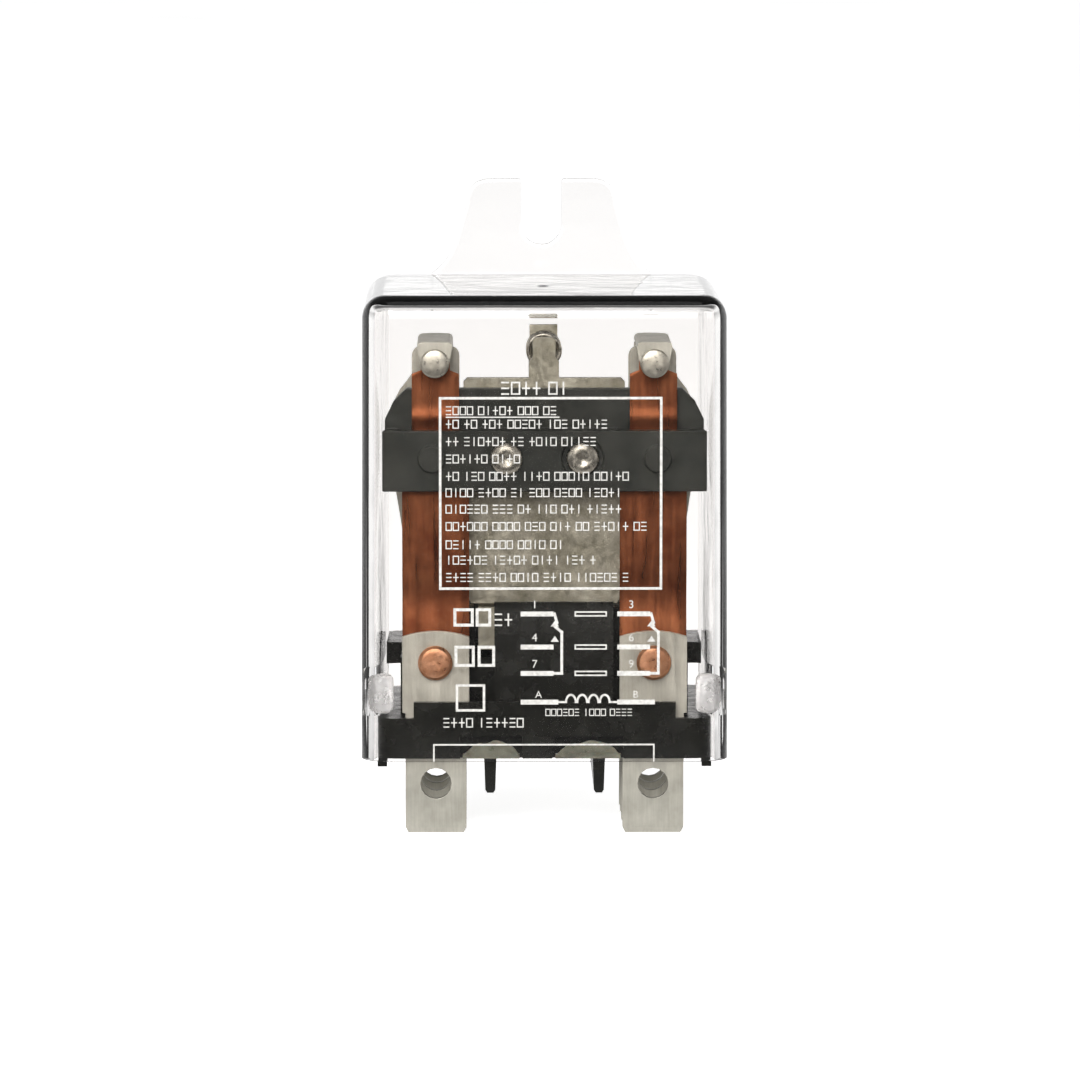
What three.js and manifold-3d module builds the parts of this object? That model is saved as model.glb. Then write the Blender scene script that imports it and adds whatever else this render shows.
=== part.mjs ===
// A plug-in power relay: two changeover poles under a clear snap-on cover, quick-connect blades below,
// and a slotted flange above the back wall.
// Units are millimetres. While a piece is being drawn, x runs to the right, y is the depth behind the
// outer front face of the cover, and z is the height above the blade tips. The group at the end then
// shifts everything, so that the origin lies on the mounting plane, level with the top of the cover.
import * as THREE from "three";
import { mergeVertices } from "three/addons/utils/BufferGeometryUtils.js";
import Module from "manifold-3d";

const wasm = await Module();
wasm.setup();

// Driving dimensions: cover and flange
const COVER_WIDTH = 38.1;
const COVER_DEPTH = 35.8;
const COVER_HEIGHT = 48.3;
const WALL = 1.3;
const COVER_CORNER = 3.4;
const COVER_TOP_ROUND = 2.4;
const COVER_DRAFT = 0.18;
const FLANGE_HEIGHT = 10.3;
const FLANGE_THICK = 1.8;
const FLANGE_HALF = 8;
const FLANGE_ROOT_HALF = 12;
const FLANGE_CORNER = 2.6;
const SLOT_WIDTH = 4.35;
const SLOT_DEPTH = 7.1;

// Driving dimensions: blades and terminals
const BLADE_OUT = 7.9;
const BLADE_WIDTH = 6.35;
const PLATE = 0.8;
const COLUMN = 11.3;
const ROW_COMMON = 3.4;
const ROW_NO = 9;
const ROW_NC = 14.4;
const ROW_COIL = 19;
const BLADE_HOLE = { radius: 1.6, height: 5.2 };

// Driving dimensions: mechanism
const GAP = 0.3;
const HINGE = { depth: 8.3, height: 23.8 };
const ARMATURE = {
  half: 8.4,
  thick: 1.5,
  top: 47.3,
  tabHalf: 1.55,
  seatHalf: 1.2,
  seatLow: 49,
  seatHigh: 51.5,
  footCorner: 0.8,
  topCorner: 0.4,
};
const CONTACT = { x: 11.35, height: 49.2, radius: 1.25, bore: 1 };
const LEAF = { front: 4.15, thick: 0.4 };
const CARRIER = {
  half: 16.7,
  low: 35.9,
  high: 42.2,
  shoulder: 43.2,
  backHigh: 46.4,
  front: 2.2,
  back: 6.5,
};
const COIL_AXIS = 35.2;
const COIL = {
  front: 15.4,
  back: 30.2,
  flange: 9.4,
  winding: 8.4,
  tape: 9,
  tube: 5.6,
  bore: 4.3,
  wall: 1.2,
  windingInset: 1.5,
  tapeInset: 1.8,
};
const YOKE = {
  thick: 2,
  low: 21.5,
  high: 43.9,
  front: 6.3,
  back: 33.5,
  half: 9.5,
  lipHalf: 6.9,
  lipLow: 19,
  neckEnd: 16,
};
const SPRING = { height: 50, radius: 1.65, wire: 0.25, front: 8.6, back: 12.5, turns: 5 };

const RIM = BLADE_OUT;
const COVER_TOP = RIM + COVER_HEIGHT;
const SIDES = [
  ["left", -1],
  ["right", 1],
];

const LOOKS = {
  cover: { color: 0xf2efea, roughness: 0.08, metalness: 0, transparent: true, opacity: 0.25 },
  base: { color: 0x24241f, roughness: 0.45, metalness: 0 },
  carrier: { color: 0x2c2b27, roughness: 0.5, metalness: 0 },
  sealant: { color: 0x7b7a62, roughness: 0.35, metalness: 0 },
  tin: { color: 0xb4ae9c, roughness: 0.4, metalness: 1 },
  copper: { color: 0xa5623c, roughness: 0.35, metalness: 1 },
  silver: { color: 0xd9d3c4, roughness: 0.3, metalness: 1 },
  steel: { color: 0x99937f, roughness: 0.4, metalness: 1 },
  springSteel: { color: 0xb0aca2, roughness: 0.25, metalness: 1 },
  bobbin: { color: 0xcfc7ae, roughness: 0.5, metalness: 0 },
  enamel: { color: 0x8a3d1c, roughness: 0.3, metalness: 0.6 },
  tape: { color: 0xc9a13a, roughness: 0.3, metalness: 0 },
};

// ---- solids and booleans

function toSolid(geometry) {
  const bare = geometry.index ? geometry.toNonIndexed() : geometry.clone();
  bare.deleteAttribute("normal");
  bare.deleteAttribute("uv");
  const merged = mergeVertices(bare, 1e-4);
  const mesh = new wasm.Mesh({
    numProp: 3,
    vertProperties: merged.attributes.position.array,
    triVerts: new Uint32Array(merged.index.array),
  });
  return new wasm.Manifold(mesh);
}

function toGeometry(solid) {
  const mesh = solid.getMesh();
  const geometry = new THREE.BufferGeometry();
  geometry.setAttribute("position", new THREE.BufferAttribute(mesh.vertProperties, 3));
  geometry.setIndex(new THREE.BufferAttribute(mesh.triVerts, 1));
  return geometry;
}

function join(...geometries) {
  return toGeometry(geometries.map(toSolid).reduce((sum, next) => sum.add(next)));
}

function cut(geometry, ...tools) {
  return toGeometry(tools.map(toSolid).reduce((rest, tool) => rest.subtract(tool), toSolid(geometry)));
}

// ---- basic shapes

function box(x0, x1, y0, y1, z0, z1) {
  const geometry = new THREE.BoxGeometry(x1 - x0, y1 - y0, z1 - z0);
  return geometry.translate((x0 + x1) / 2, (y0 + y1) / 2, (z0 + z1) / 2);
}

// A box that is mirrored to both sides of the middle plane.
function boxOn(side, near, far, y0, y1, z0, z1) {
  return box(Math.min(side * near, side * far), Math.max(side * near, side * far), y0, y1, z0, z1);
}

// A plate drawn as seen from the front (x, z) that lies between two depths.
function plate(shape, front, back) {
  const geometry = new THREE.ExtrudeGeometry(shape, {
    depth: back - front,
    bevelEnabled: false,
    curveSegments: 8,
  });
  return geometry.rotateX(Math.PI / 2).translate(0, back, 0);
}

function polygon(points) {
  return new THREE.Shape(points.map(([x, y]) => new THREE.Vector2(x, y)));
}

function roundedRectangle(halfWidth, y0, y1, radius) {
  const shape = new THREE.Shape();
  shape.moveTo(-halfWidth + radius, y0);
  shape.absarc(halfWidth - radius, y0 + radius, radius, -Math.PI / 2, 0, false);
  shape.absarc(halfWidth - radius, y1 - radius, radius, 0, Math.PI / 2, false);
  shape.absarc(-halfWidth + radius, y1 - radius, radius, Math.PI / 2, Math.PI, false);
  shape.absarc(-halfWidth + radius, y0 + radius, radius, Math.PI, 1.5 * Math.PI, false);
  return shape;
}

// A block with round upright corners; topRound rounds its upper edge as well.
function roundedBlock(halfWidth, y0, y1, z0, z1, corner, topRound = 0) {
  const shape = roundedRectangle(halfWidth, y0, y1, corner);
  if (topRound === 0) {
    const plain = new THREE.ExtrudeGeometry(shape, {
      depth: z1 - z0,
      bevelEnabled: false,
      curveSegments: 5,
    });
    return plain.translate(0, 0, z0);
  }
  const block = new THREE.ExtrudeGeometry(shape, {
    depth: z1 - z0,
    bevelSize: topRound,
    bevelThickness: topRound,
    bevelOffset: -topRound,
    bevelSegments: 4,
    curveSegments: 5,
  });
  block.translate(0, 0, z0 - topRound);
  const below = box(-2 * halfWidth, 2 * halfWidth, y0 - 5, y1 + 5, z0 - 3 * topRound, z0);
  return cut(block, below);
}

// A turned piece whose axis runs along the depth; the profile is [radius, depth] from front to back.
function turned(profile, x, z, segments = 20) {
  const points = profile.map(([r, y]) => new THREE.Vector2(r, y));
  return new THREE.LatheGeometry(points, segments).translate(x, 0, z);
}

function pin(x, z, radius, front, back, segments = 20) {
  return turned([[0, front], [radius, front], [radius, back], [0, back]], x, z, segments);
}

function uprightPin(x, y, radius, low, high, segments = 20) {
  const geometry = new THREE.CylinderGeometry(radius, radius, high - low, segments);
  return geometry.rotateX(Math.PI / 2).translate(x, y, (low + high) / 2);
}

function circleShape(radius, sides) {
  const points = [];
  for (let i = 0; i < sides; i += 1) {
    const angle = (2 * Math.PI * i) / sides;
    points.push(new THREE.Vector2(radius * Math.cos(angle), radius * Math.sin(angle)));
  }
  return new THREE.Shape(points);
}

function wireAlong(curve, radius, steps, sides) {
  return new THREE.ExtrudeGeometry(circleShape(radius, sides), {
    extrudePath: curve,
    steps,
    bevelEnabled: false,
  });
}

// ---- cover

function flangeOutline() {
  const top = COVER_TOP + FLANGE_HEIGHT;
  const slotHalf = SLOT_WIDTH / 2;
  const slotRound = top - SLOT_DEPTH + slotHalf;
  const straight = top - 5.6;
  const shape = new THREE.Shape();
  shape.moveTo(-FLANGE_ROOT_HALF, COVER_TOP - 5);
  shape.lineTo(-FLANGE_ROOT_HALF, COVER_TOP);
  shape.quadraticCurveTo(-FLANGE_HALF - 1.8, COVER_TOP + 1.3, -FLANGE_HALF - 0.9, straight);
  shape.lineTo(-FLANGE_HALF, top - FLANGE_CORNER);
  shape.quadraticCurveTo(-FLANGE_HALF, top, -FLANGE_HALF + FLANGE_CORNER, top);
  shape.lineTo(-slotHalf, top);
  shape.lineTo(-slotHalf, slotRound);
  shape.absarc(0, slotRound, slotHalf, Math.PI, 2 * Math.PI, false);
  shape.lineTo(slotHalf, top);
  shape.lineTo(FLANGE_HALF - FLANGE_CORNER, top);
  shape.quadraticCurveTo(FLANGE_HALF, top, FLANGE_HALF, top - FLANGE_CORNER);
  shape.lineTo(FLANGE_HALF + 0.9, straight);
  shape.quadraticCurveTo(FLANGE_HALF + 1.8, COVER_TOP + 1.3, FLANGE_ROOT_HALF, COVER_TOP);
  shape.lineTo(FLANGE_ROOT_HALF, COVER_TOP - 5);
  return shape;
}

// Mould draft: the cover's sides lean in towards the top, by COVER_DRAFT each.
function drafted(geometry) {
  const position = geometry.attributes.position;
  for (let i = 0; i < position.count; i += 1) {
    const rise = (position.getZ(i) - RIM) / COVER_HEIGHT;
    position.setX(i, position.getX(i) * (1 - (COVER_DRAFT * rise) / (COVER_WIDTH / 2)));
  }
  return geometry;
}

const WINDOW = { low: 12.4, high: 17.5, length: 5 };
const CATCH = { near: 15.1, high: 16.9, length: 2.2 };

function cover() {
  const half = COVER_WIDTH / 2;
  const outer = drafted(roundedBlock(half, 0, COVER_DEPTH, RIM, COVER_TOP, COVER_CORNER, COVER_TOP_ROUND));
  const flange = plate(flangeOutline(), COVER_DEPTH - FLANGE_THICK, COVER_DEPTH);
  const inner = drafted(
    roundedBlock(
      half - WALL,
      WALL,
      COVER_DEPTH - WALL,
      RIM - 4,
      COVER_TOP - WALL,
      COVER_CORNER - WALL,
      COVER_TOP_ROUND - WALL,
    ),
  );
  const windows = [];
  const catches = [];
  for (const [, side] of SIDES) {
    for (const front of [COVER_CORNER, COVER_DEPTH - COVER_CORNER - WINDOW.length]) {
      const back = front + WINDOW.length;
      windows.push(boxOn(side, half - 2 * WALL, half + 1, front, back, WINDOW.low, WINDOW.high));
    }
    for (const front of [WALL - 0.2, COVER_DEPTH - WALL + 0.2 - CATCH.length]) {
      const back = front + CATCH.length;
      catches.push(boxOn(side, CATCH.near, half - 0.6 * WALL, front, back, WINDOW.low + 0.3, CATCH.high));
    }
  }
  return join(cut(join(outer, flange), inner, ...windows), ...catches);
}

// ---- base

const BASE = {
  half: 17.4,
  front: 1.65,
  back: 34.1,
  low: 8.1,
  slab: 12.3,
  block: 18.2,
  blockHalf: 15,
  blockFront: 6.4,
};
const LIP = { half: 13.6, thick: 1, high: 14 };
const CENTRE = {
  left: -5.2,
  right: 7.2,
  front: 4.6,
  leanFrom: 19.2,
  leanTo: 23.1,
  high: 24.1,
  lean: 0.7,
  back: 6,
};
const CHEEK = { near: 7.2, far: 8.5, front: 6.4, back: 15.7, high: 23.5 };
const WING = { near: 14.9, far: 17.2, front: 14, back: 26, low: 16.8, high: 19 };
const FOOT = { near: 16.4, far: 17.4, inset: 1.95, length: 1, drop: 1 };
const SCREW_PILLAR_RADIUS = 2.6;
const RIB = { x: 5.65, thick: 1.3, low: 4.3, front: 2.2, back: 22.5 };
const SCREW = { x: 5, depth: 27, head: 2.3, shank: 1.2, headLow: 8.5, headHigh: 10.2 };
const SEAL = [
  ["left", -8.8, -2.3],
  ["right", 0.8, 8.2],
];
const SEAL_TOP = 10.4;
const SEAL_THICK = 0.5;

function barrierRib(x) {
  const half = RIB.thick / 2;
  const outline = polygon([
    [x - half, BASE.low + 1],
    [x - half, BASE.low],
    [x - 0.8 * half, RIB.low + 0.3],
    [x - 0.5 * half, RIB.low],
    [x + 0.5 * half, RIB.low],
    [x + 0.8 * half, RIB.low + 0.3],
    [x + half, BASE.low],
    [x + half, BASE.low + 1],
  ]);
  return plate(outline, RIB.front, RIB.back);
}

// The block between the two poles: upright below, then a face that leans back to a narrow ridge in
// front of the yoke's lip. Its side view is (depth, height), swept across the base.
function centreBlock() {
  const { left, right, front, leanFrom, leanTo, high, lean, back } = CENTRE;
  const side = polygon([
    [front, BASE.slab - 1],
    [BASE.blockFront + 0.6, BASE.slab - 1],
    [BASE.blockFront + 0.6, BASE.block],
    [back, BASE.block],
    [back, high],
    [front + lean, high],
    [front + lean, leanTo],
    [front, leanFrom],
  ]);
  const swept = new THREE.ExtrudeGeometry(side, { depth: right - left, bevelEnabled: false });
  return swept.applyMatrix4(new THREE.Matrix4().set(0, 0, 1, left, 1, 0, 0, 0, 0, 1, 0, 0, 0, 0, 0, 1));
}

function baseBody() {
  const { blockHalf, blockFront, back, slab } = BASE;
  const pieces = [
    roundedBlock(BASE.half, BASE.front, back, BASE.low, slab, COVER_CORNER - WALL),
    box(-LIP.half, LIP.half, BASE.front, BASE.front + LIP.thick, slab - 1, LIP.high),
    box(-blockHalf, blockHalf, blockFront, back - 1.5, slab - 1, BASE.block),
    centreBlock(),
    barrierRib(-RIB.x),
    barrierRib(RIB.x),
  ];
  for (const [, side] of SIDES) {
    const pillarTop = YOKE.low - GAP;
    pieces.push(uprightPin(side * SCREW.x, SCREW.depth, SCREW_PILLAR_RADIUS, BASE.block - 1, pillarTop));
    pieces.push(boxOn(side, WING.near, WING.far, WING.front, WING.back, WING.low, WING.high));
    pieces.push(
      boxOn(side, CHEEK.near, CHEEK.far, CHEEK.front, CHEEK.back, BASE.block - 1, CHEEK.high),
    );
    for (const front of [BASE.front + FOOT.inset, back - FOOT.inset - FOOT.length]) {
      const end = front + FOOT.length;
      pieces.push(boxOn(side, FOOT.near, FOOT.far, front, end, RIM - FOOT.drop, BASE.low + 1));
    }
  }
  return join(...pieces);
}

function base() {
  const slotHalf = BLADE_WIDTH / 2 + GAP;
  const slotThick = PLATE / 2 + GAP;
  const cuts = [];
  for (const [, side] of SIDES) {
    const x = side * COLUMN;
    for (const row of [ROW_COMMON, ROW_NO, ROW_NC, ROW_COIL]) {
      cuts.push(box(x - slotHalf, x + slotHalf, row - slotThick, row + slotThick, 0, BASE.block + 1));
    }
    cuts.push(uprightPin(side * SCREW.x, SCREW.depth, SCREW.shank + GAP, 0, YOKE.low + 1));
    cuts.push(uprightPin(side * SCREW.x, SCREW.depth, SCREW.head + GAP, 0, SCREW.headHigh + GAP));
  }
  for (const row of [ROW_COMMON, ROW_NO, ROW_NC]) {
    cuts.push(box(-slotHalf, slotHalf, row - slotThick, row + slotThick, 0, BASE.low + 1.5));
  }
  for (const [, low, high] of SEAL) {
    cuts.push(box(low, high, 0, BASE.front + 0.8, 0, SEAL_TOP));
  }
  return cut(baseBody(), ...cuts);
}

function sealant(low, high) {
  const back = BASE.front + SEAL_THICK;
  return roundedBlockBetween(low + GAP, high - GAP, BASE.front, back, BASE.low, SEAL_TOP - GAP);
}

function roundedBlockBetween(x0, x1, y0, y1, z0, z1) {
  return roundedBlock((x1 - x0) / 2, y0, y1, z0, z1, 0.2).translate((x0 + x1) / 2, 0, 0);
}

// ---- terminals

const SHOULDER = 12.7;
const TIP = { corner: 0.3, taper: 0.9, thin: 0.2 };
const COMMON_PLATE = { half: 3.5, edge: 20.7, crown: 21.9 };
const NO_ARM = { half: 2.5, top: 50.5, corner: 1.2 };

// The outline of a terminal as seen from the front: the blade with its tapered tip, then the points of
// one upper edge, listed from the shoulder on the left round to the shoulder on the right.
function terminalOutline(upper) {
  const half = BLADE_WIDTH / 2;
  const shape = new THREE.Shape();
  shape.moveTo(-half + TIP.corner, 0);
  shape.lineTo(half - TIP.corner, 0);
  shape.lineTo(half, 2 * TIP.corner);
  shape.lineTo(half, SHOULDER);
  upper(shape);
  shape.lineTo(-half, SHOULDER);
  shape.lineTo(-half, 2 * TIP.corner);
  const hole = new THREE.Path();
  hole.absarc(0, BLADE_HOLE.height, BLADE_HOLE.radius, 0, 2 * Math.PI, true);
  shape.holes.push(hole);
  return shape;
}

// A wedge that takes the corner off one face of a blade's tip, so that the blade finds its socket.
function tipWedge(face, outward) {
  const side = polygon([
    [face - outward * TIP.thin, -0.1],
    [face + outward, -0.1],
    [face + outward, TIP.taper],
    [face, TIP.taper],
  ]);
  const swept = new THREE.ExtrudeGeometry(side, { depth: BLADE_WIDTH + 2, bevelEnabled: false });
  const across = -BLADE_WIDTH / 2 - 1;
  return swept.applyMatrix4(new THREE.Matrix4().set(0, 0, 1, across, 1, 0, 0, 0, 0, 1, 0, 0, 0, 0, 0, 1));
}

// A terminal is drawn round its own column and for the right-hand side, and is then put in its place.
function terminal(side, row, upper) {
  const [front, back] = [row - PLATE / 2, row + PLATE / 2];
  const blank = plate(terminalOutline(upper), front, back);
  const geometry = cut(blank, tipWedge(front, -1), tipWedge(back, 1));
  return mirrored(geometry, side).translate(side * COLUMN, 0, 0);
}

// Mirrors a right-hand piece to the left when side is -1, with its faces turned back to point out.
function mirrored(geometry, side) {
  if (side === 1) {
    return geometry;
  }
  const flipped = (geometry.index ? geometry.toNonIndexed() : geometry).scale(-1, 1, 1);
  const position = flipped.attributes.position;
  for (let i = 0; i < position.count; i += 3) {
    const [x, y, z] = [position.getX(i + 1), position.getY(i + 1), position.getZ(i + 1)];
    position.setXYZ(i + 1, position.getX(i + 2), position.getY(i + 2), position.getZ(i + 2));
    position.setXYZ(i + 2, x, y, z);
  }
  return flipped;
}

function commonTerminal(side) {
  const { half, edge, crown } = COMMON_PLATE;
  const upper = (shape) => {
    shape.lineTo(half, SHOULDER);
    shape.lineTo(half, edge);
    shape.quadraticCurveTo(0, crown, -half, edge);
    shape.lineTo(-half, SHOULDER);
  };
  const bore = pin(side * CONTACT.x, RIVET.height, RIVET.shank + GAP, 0, 10);
  return cut(terminal(side, ROW_COMMON, upper), bore);
}

function noTerminal(side) {
  const { half, top, corner } = NO_ARM;
  const upper = (shape) => {
    shape.lineTo(half, SHOULDER + 0.7);
    shape.lineTo(half, top - corner);
    shape.quadraticCurveTo(half, top, half - corner, top);
    shape.lineTo(corner - half, top);
    shape.quadraticCurveTo(-half, top, -half, top - corner);
    shape.lineTo(-half, SHOULDER + 0.7);
  };
  const bore = pin(side * CONTACT.x, CONTACT.height, CONTACT.bore, 0, 20);
  return cut(terminal(side, ROW_NO, upper), bore);
}

const HOOK = {
  near: 9.5,
  far: 13.2,
  low: 50.8,
  high: 51.4,
  corner: 1,
  front: 2,
  thick: 0.7,
  lipHalf: 1.5,
};

// The hook's beam seen from the front: flat below, with its upper corners rounded.
function hookBeam() {
  const { near, far, low, high } = HOOK;
  const round = high - low;
  const shape = new THREE.Shape();
  shape.moveTo(near, low);
  shape.lineTo(far, low);
  shape.quadraticCurveTo(far, high, far - round, high);
  shape.lineTo(near + round, high);
  shape.quadraticCurveTo(near, high, near, low);
  return shape;
}

// The tongue that hangs from the beam's front end and carries the normally closed contact.
function hookLip() {
  const { near, far, low, high, corner, lipHalf } = HOOK;
  const shape = new THREE.Shape();
  shape.moveTo(near, low);
  shape.lineTo(CONTACT.x - lipHalf, CONTACT.height);
  shape.absarc(CONTACT.x, CONTACT.height, lipHalf, Math.PI, 2 * Math.PI, false);
  shape.lineTo(far, low);
  shape.lineTo(far - corner, high);
  shape.lineTo(near + corner, high);
  return shape;
}

// The normally closed arm bulges outwards beside the coil, then hooks forward over the other contacts.
function ncTerminal(side) {
  const upper = (shape) => {
    shape.lineTo(2.5, SHOULDER + 0.7);
    shape.lineTo(2.5, 25);
    shape.quadraticCurveTo(3.4, 29.5, 4.4, 36);
    shape.quadraticCurveTo(5.9, 43.5, 3.2, 46.3);
    shape.lineTo(HOOK.far - COLUMN, 48);
    shape.lineTo(HOOK.far - COLUMN, HOOK.high - HOOK.corner);
    shape.lineTo(HOOK.far - COLUMN - HOOK.corner, HOOK.high);
    shape.lineTo(HOOK.near - COLUMN + HOOK.corner, HOOK.high);
    shape.lineTo(HOOK.near - COLUMN, HOOK.high - HOOK.corner);
    shape.lineTo(HOOK.near - COLUMN, 46.5);
    shape.quadraticCurveTo(1.6, 42, 0.4, 36);
    shape.quadraticCurveTo(-0.9, 29.5, -2.5, 25);
    shape.lineTo(-2.5, SHOULDER + 0.7);
  };
  const arm = terminal(side, ROW_NC, upper);
  const beam = mirrored(plate(hookBeam(), HOOK.front, ROW_NC), side);
  const lip = mirrored(plate(hookLip(), HOOK.front, HOOK.front + HOOK.thick), side);
  const bore = pin(side * CONTACT.x, CONTACT.height, CONTACT.bore, 0, 5);
  return cut(join(arm, beam, lip), bore);
}

function coilTerminal(side) {
  const upper = (shape) => {
    shape.lineTo(1.6, SHOULDER + 1.2);
    shape.lineTo(1.6, 20.4);
    shape.lineTo(0.6, 20.4);
    shape.lineTo(0.35, 19.4);
    shape.lineTo(-0.35, 19.4);
    shape.lineTo(-0.6, 20.4);
    shape.lineTo(-1.6, 20.4);
    shape.lineTo(-1.6, SHOULDER + 1.2);
  };
  return terminal(side, ROW_COIL, upper);
}

// ---- contacts, leaf springs and their rivets

const RIVET = { height: 18, head: 1.8, shank: 1.1 };

function movingBlade(side) {
  const outline = polygon([
    [7.85, 15.2],
    [8.6, 14.4],
    [14.05, 14.4],
    [14.8, 15.2],
    [14.8, 38],
    [13.75, 40],
    [13.75, 47.8],
    [13.55, 48],
    [12.85, 48],
    [12.85, 50.2],
    [12.5, 50.6],
    [10.2, 50.6],
    [9.85, 50.2],
    [9.85, 48],
    [9.05, 48],
    [8.85, 47.8],
    [8.85, 40],
    [7.85, 38],
  ]);
  const strip = plate(outline, LEAF.front, LEAF.front + LEAF.thick);
  const foot = pin(CONTACT.x, RIVET.height, RIVET.shank + GAP, 0, 10);
  const head = pin(CONTACT.x, CONTACT.height, CONTACT.bore, 0, 10);
  return mirrored(cut(strip, foot, head), side);
}

function bladeRivet(side) {
  const back = LEAF.front + LEAF.thick + GAP;
  const profile = [
    [0, 2.15],
    [RIVET.head - 0.45, 2.15],
    [RIVET.head, 2.45],
    [RIVET.head, 2.85],
    [RIVET.shank, 2.85],
    [RIVET.shank, back],
    [1.6, back],
    [1.4, back + 0.6],
    [0, back + 0.6],
  ];
  return turned(profile, side * CONTACT.x, RIVET.height, 24);
}

// A contact rivet along the depth: a head in front of its strip, a shank through it and a head behind.
function contactRivet(side, frontHead, backHead, shank = CONTACT.bore - GAP) {
  const profile = [
    [0, frontHead.from],
    [frontHead.radius - 0.15, frontHead.from],
    [frontHead.radius, frontHead.from + 0.12],
    [frontHead.radius, frontHead.to],
    [shank, frontHead.to],
    [shank, backHead.from],
    [backHead.radius, backHead.from],
    [backHead.radius, backHead.to - 0.12],
    [backHead.radius - 0.15, backHead.to],
    [0, backHead.to],
  ];
  return turned(profile, side * CONTACT.x, CONTACT.height);
}

function movingContact(side) {
  const back = LEAF.front + LEAF.thick + GAP;
  const frontHead = { from: 3.4, to: LEAF.front - GAP, radius: CONTACT.radius };
  const backHead = { from: back, to: 5.85, radius: CONTACT.radius };
  return contactRivet(side, frontHead, backHead);
}

function ncContact(side) {
  const frontHead = { from: 1.6, to: HOOK.front - 0.15, radius: 1.5 };
  const backHead = { from: HOOK.front + HOOK.thick + 0.15, to: 3.2, radius: CONTACT.radius };
  return contactRivet(side, frontHead, backHead);
}

function noContact(side) {
  const front = ROW_NO - PLATE / 2;
  const back = ROW_NO + PLATE / 2;
  const frontHead = { from: 7.65, to: front - 0.15, radius: CONTACT.radius };
  const backHead = { from: back + 0.15, to: back + 0.6, radius: 1.3 };
  return contactRivet(side, frontHead, backHead);
}

// ---- armature and carrier

function armature() {
  const { half, thick, top, tabHalf, seatHalf, seatLow, seatHigh, footCorner, topCorner } = ARMATURE;
  const outline = polygon([
    [-half + footCorner, HINGE.height],
    [half - footCorner, HINGE.height],
    [half, HINGE.height + 1.5],
    [half, top - topCorner],
    [half - topCorner, top],
    [tabHalf, top],
    [tabHalf, seatLow],
    [seatHalf, seatLow + 0.4],
    [seatHalf, seatHigh - 0.3],
    [seatHalf - 0.3, seatHigh],
    [0.3 - seatHalf, seatHigh],
    [-seatHalf, seatHigh - 0.3],
    [-seatHalf, seatLow + 0.4],
    [-tabHalf, seatLow],
    [-tabHalf, top],
    [-half + topCorner, top],
    [-half, top - topCorner],
    [-half, HINGE.height + 1.5],
  ]);
  const slab = plate(outline, HINGE.depth - thick, HINGE.depth);
  const bores = SIDES.map(([, side]) => pin(side * PIN.x, PIN.height, PIN.shank + GAP, 0, 10));
  return cut(slab, ...bores);
}

const PIN = { x: 3.95, height: 39.3, head: 1.7, shank: 1 };
const STAKE = { x: 11.7, radius: 1.4 };

// The carrier is one moulding: a front bar, a taller back wall, and a slot between them for each leaf.
function carrier() {
  const { half, low, high, shoulder, backHigh, front, back } = CARRIER;
  const slotFront = LEAF.front - GAP;
  const slotBack = LEAF.front + LEAF.thick + GAP;
  const wall = polygon([
    [-half, low],
    [half, low],
    [half, shoulder],
    [half - 1, shoulder + 1.8],
    [half - 2.4, backHigh],
    [-half + 2.4, backHigh],
    [-half + 1, shoulder + 1.8],
    [-half, shoulder],
  ]);
  const body = join(box(-half, half, front, slotBack + 0.2, low, high), plate(wall, slotBack, back));
  const cuts = [];
  for (const [, side] of SIDES) {
    cuts.push(boxOn(side, 7.5, 15.15, slotFront, slotBack, low - 1, high + 1));
    cuts.push(pin(side * PIN.x, PIN.height, PIN.shank + GAP, 0, 10));
  }
  cuts.push(pin(PIN.x, PIN.height, PIN.head + 0.5, 0, front + 0.5));
  const bosses = SIDES.map(([, side]) =>
    pin(side * STAKE.x, PIN.height, STAKE.radius, front - 0.35, slotFront),
  );
  return join(cut(body, ...cuts), ...bosses);
}

function armatureRivet(side) {
  const seat = side > 0 ? CARRIER.front + 0.35 : CARRIER.front - 0.1;
  const profile = [
    [0, seat - 0.5],
    [PIN.head - 0.5, seat - 0.45],
    [PIN.head, seat - 0.2],
    [PIN.head, seat],
    [PIN.shank, seat],
    [PIN.shank, HINGE.depth - 0.1],
    [0, HINGE.depth - 0.1],
  ];
  return turned(profile, side * PIN.x, PIN.height);
}

// ---- magnet: yoke, core, coil

function yoke() {
  const { thick, low, front, back, half, lipHalf, lipLow, neckEnd } = YOKE;
  const body = join(
    box(-half, half, back - thick, back, low, YOKE.high),
    box(-half, half, neckEnd, back, low, low + thick),
    box(-lipHalf, lipHalf, front, neckEnd + 1, low, low + thick),
    box(-lipHalf, lipHalf, front, front + thick, lipLow, low + thick),
  );
  const cuts = SIDES.map(([, side]) =>
    uprightPin(side * SCREW.x, SCREW.depth, SCREW.shank + GAP, low - 1, low + thick + 1),
  );
  cuts.push(pin(0, COIL_AXIS, CORE.tail + GAP, back - thick - 1, back + 1));
  cuts.push(pin(0, BRACKET.rivetHeight, BRACKET.bore, back - thick - 1, back + 1));
  return cut(body, ...cuts);
}

const CORE = { face: 9.6, shoe: 6, rod: 4, tail: 3, shoeBack: 11.5 };
const RING = { inner: 3.6, outer: 4.8, depth: 1 };
const BRACKET = {
  half: 1.45,
  foot: 3,
  low: 48.3,
  thick: 0.8,
  tabFront: 12.8,
  tabTop: 52.4,
  rivetHeight: 41.4,
  bore: 1.2,
};

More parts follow.
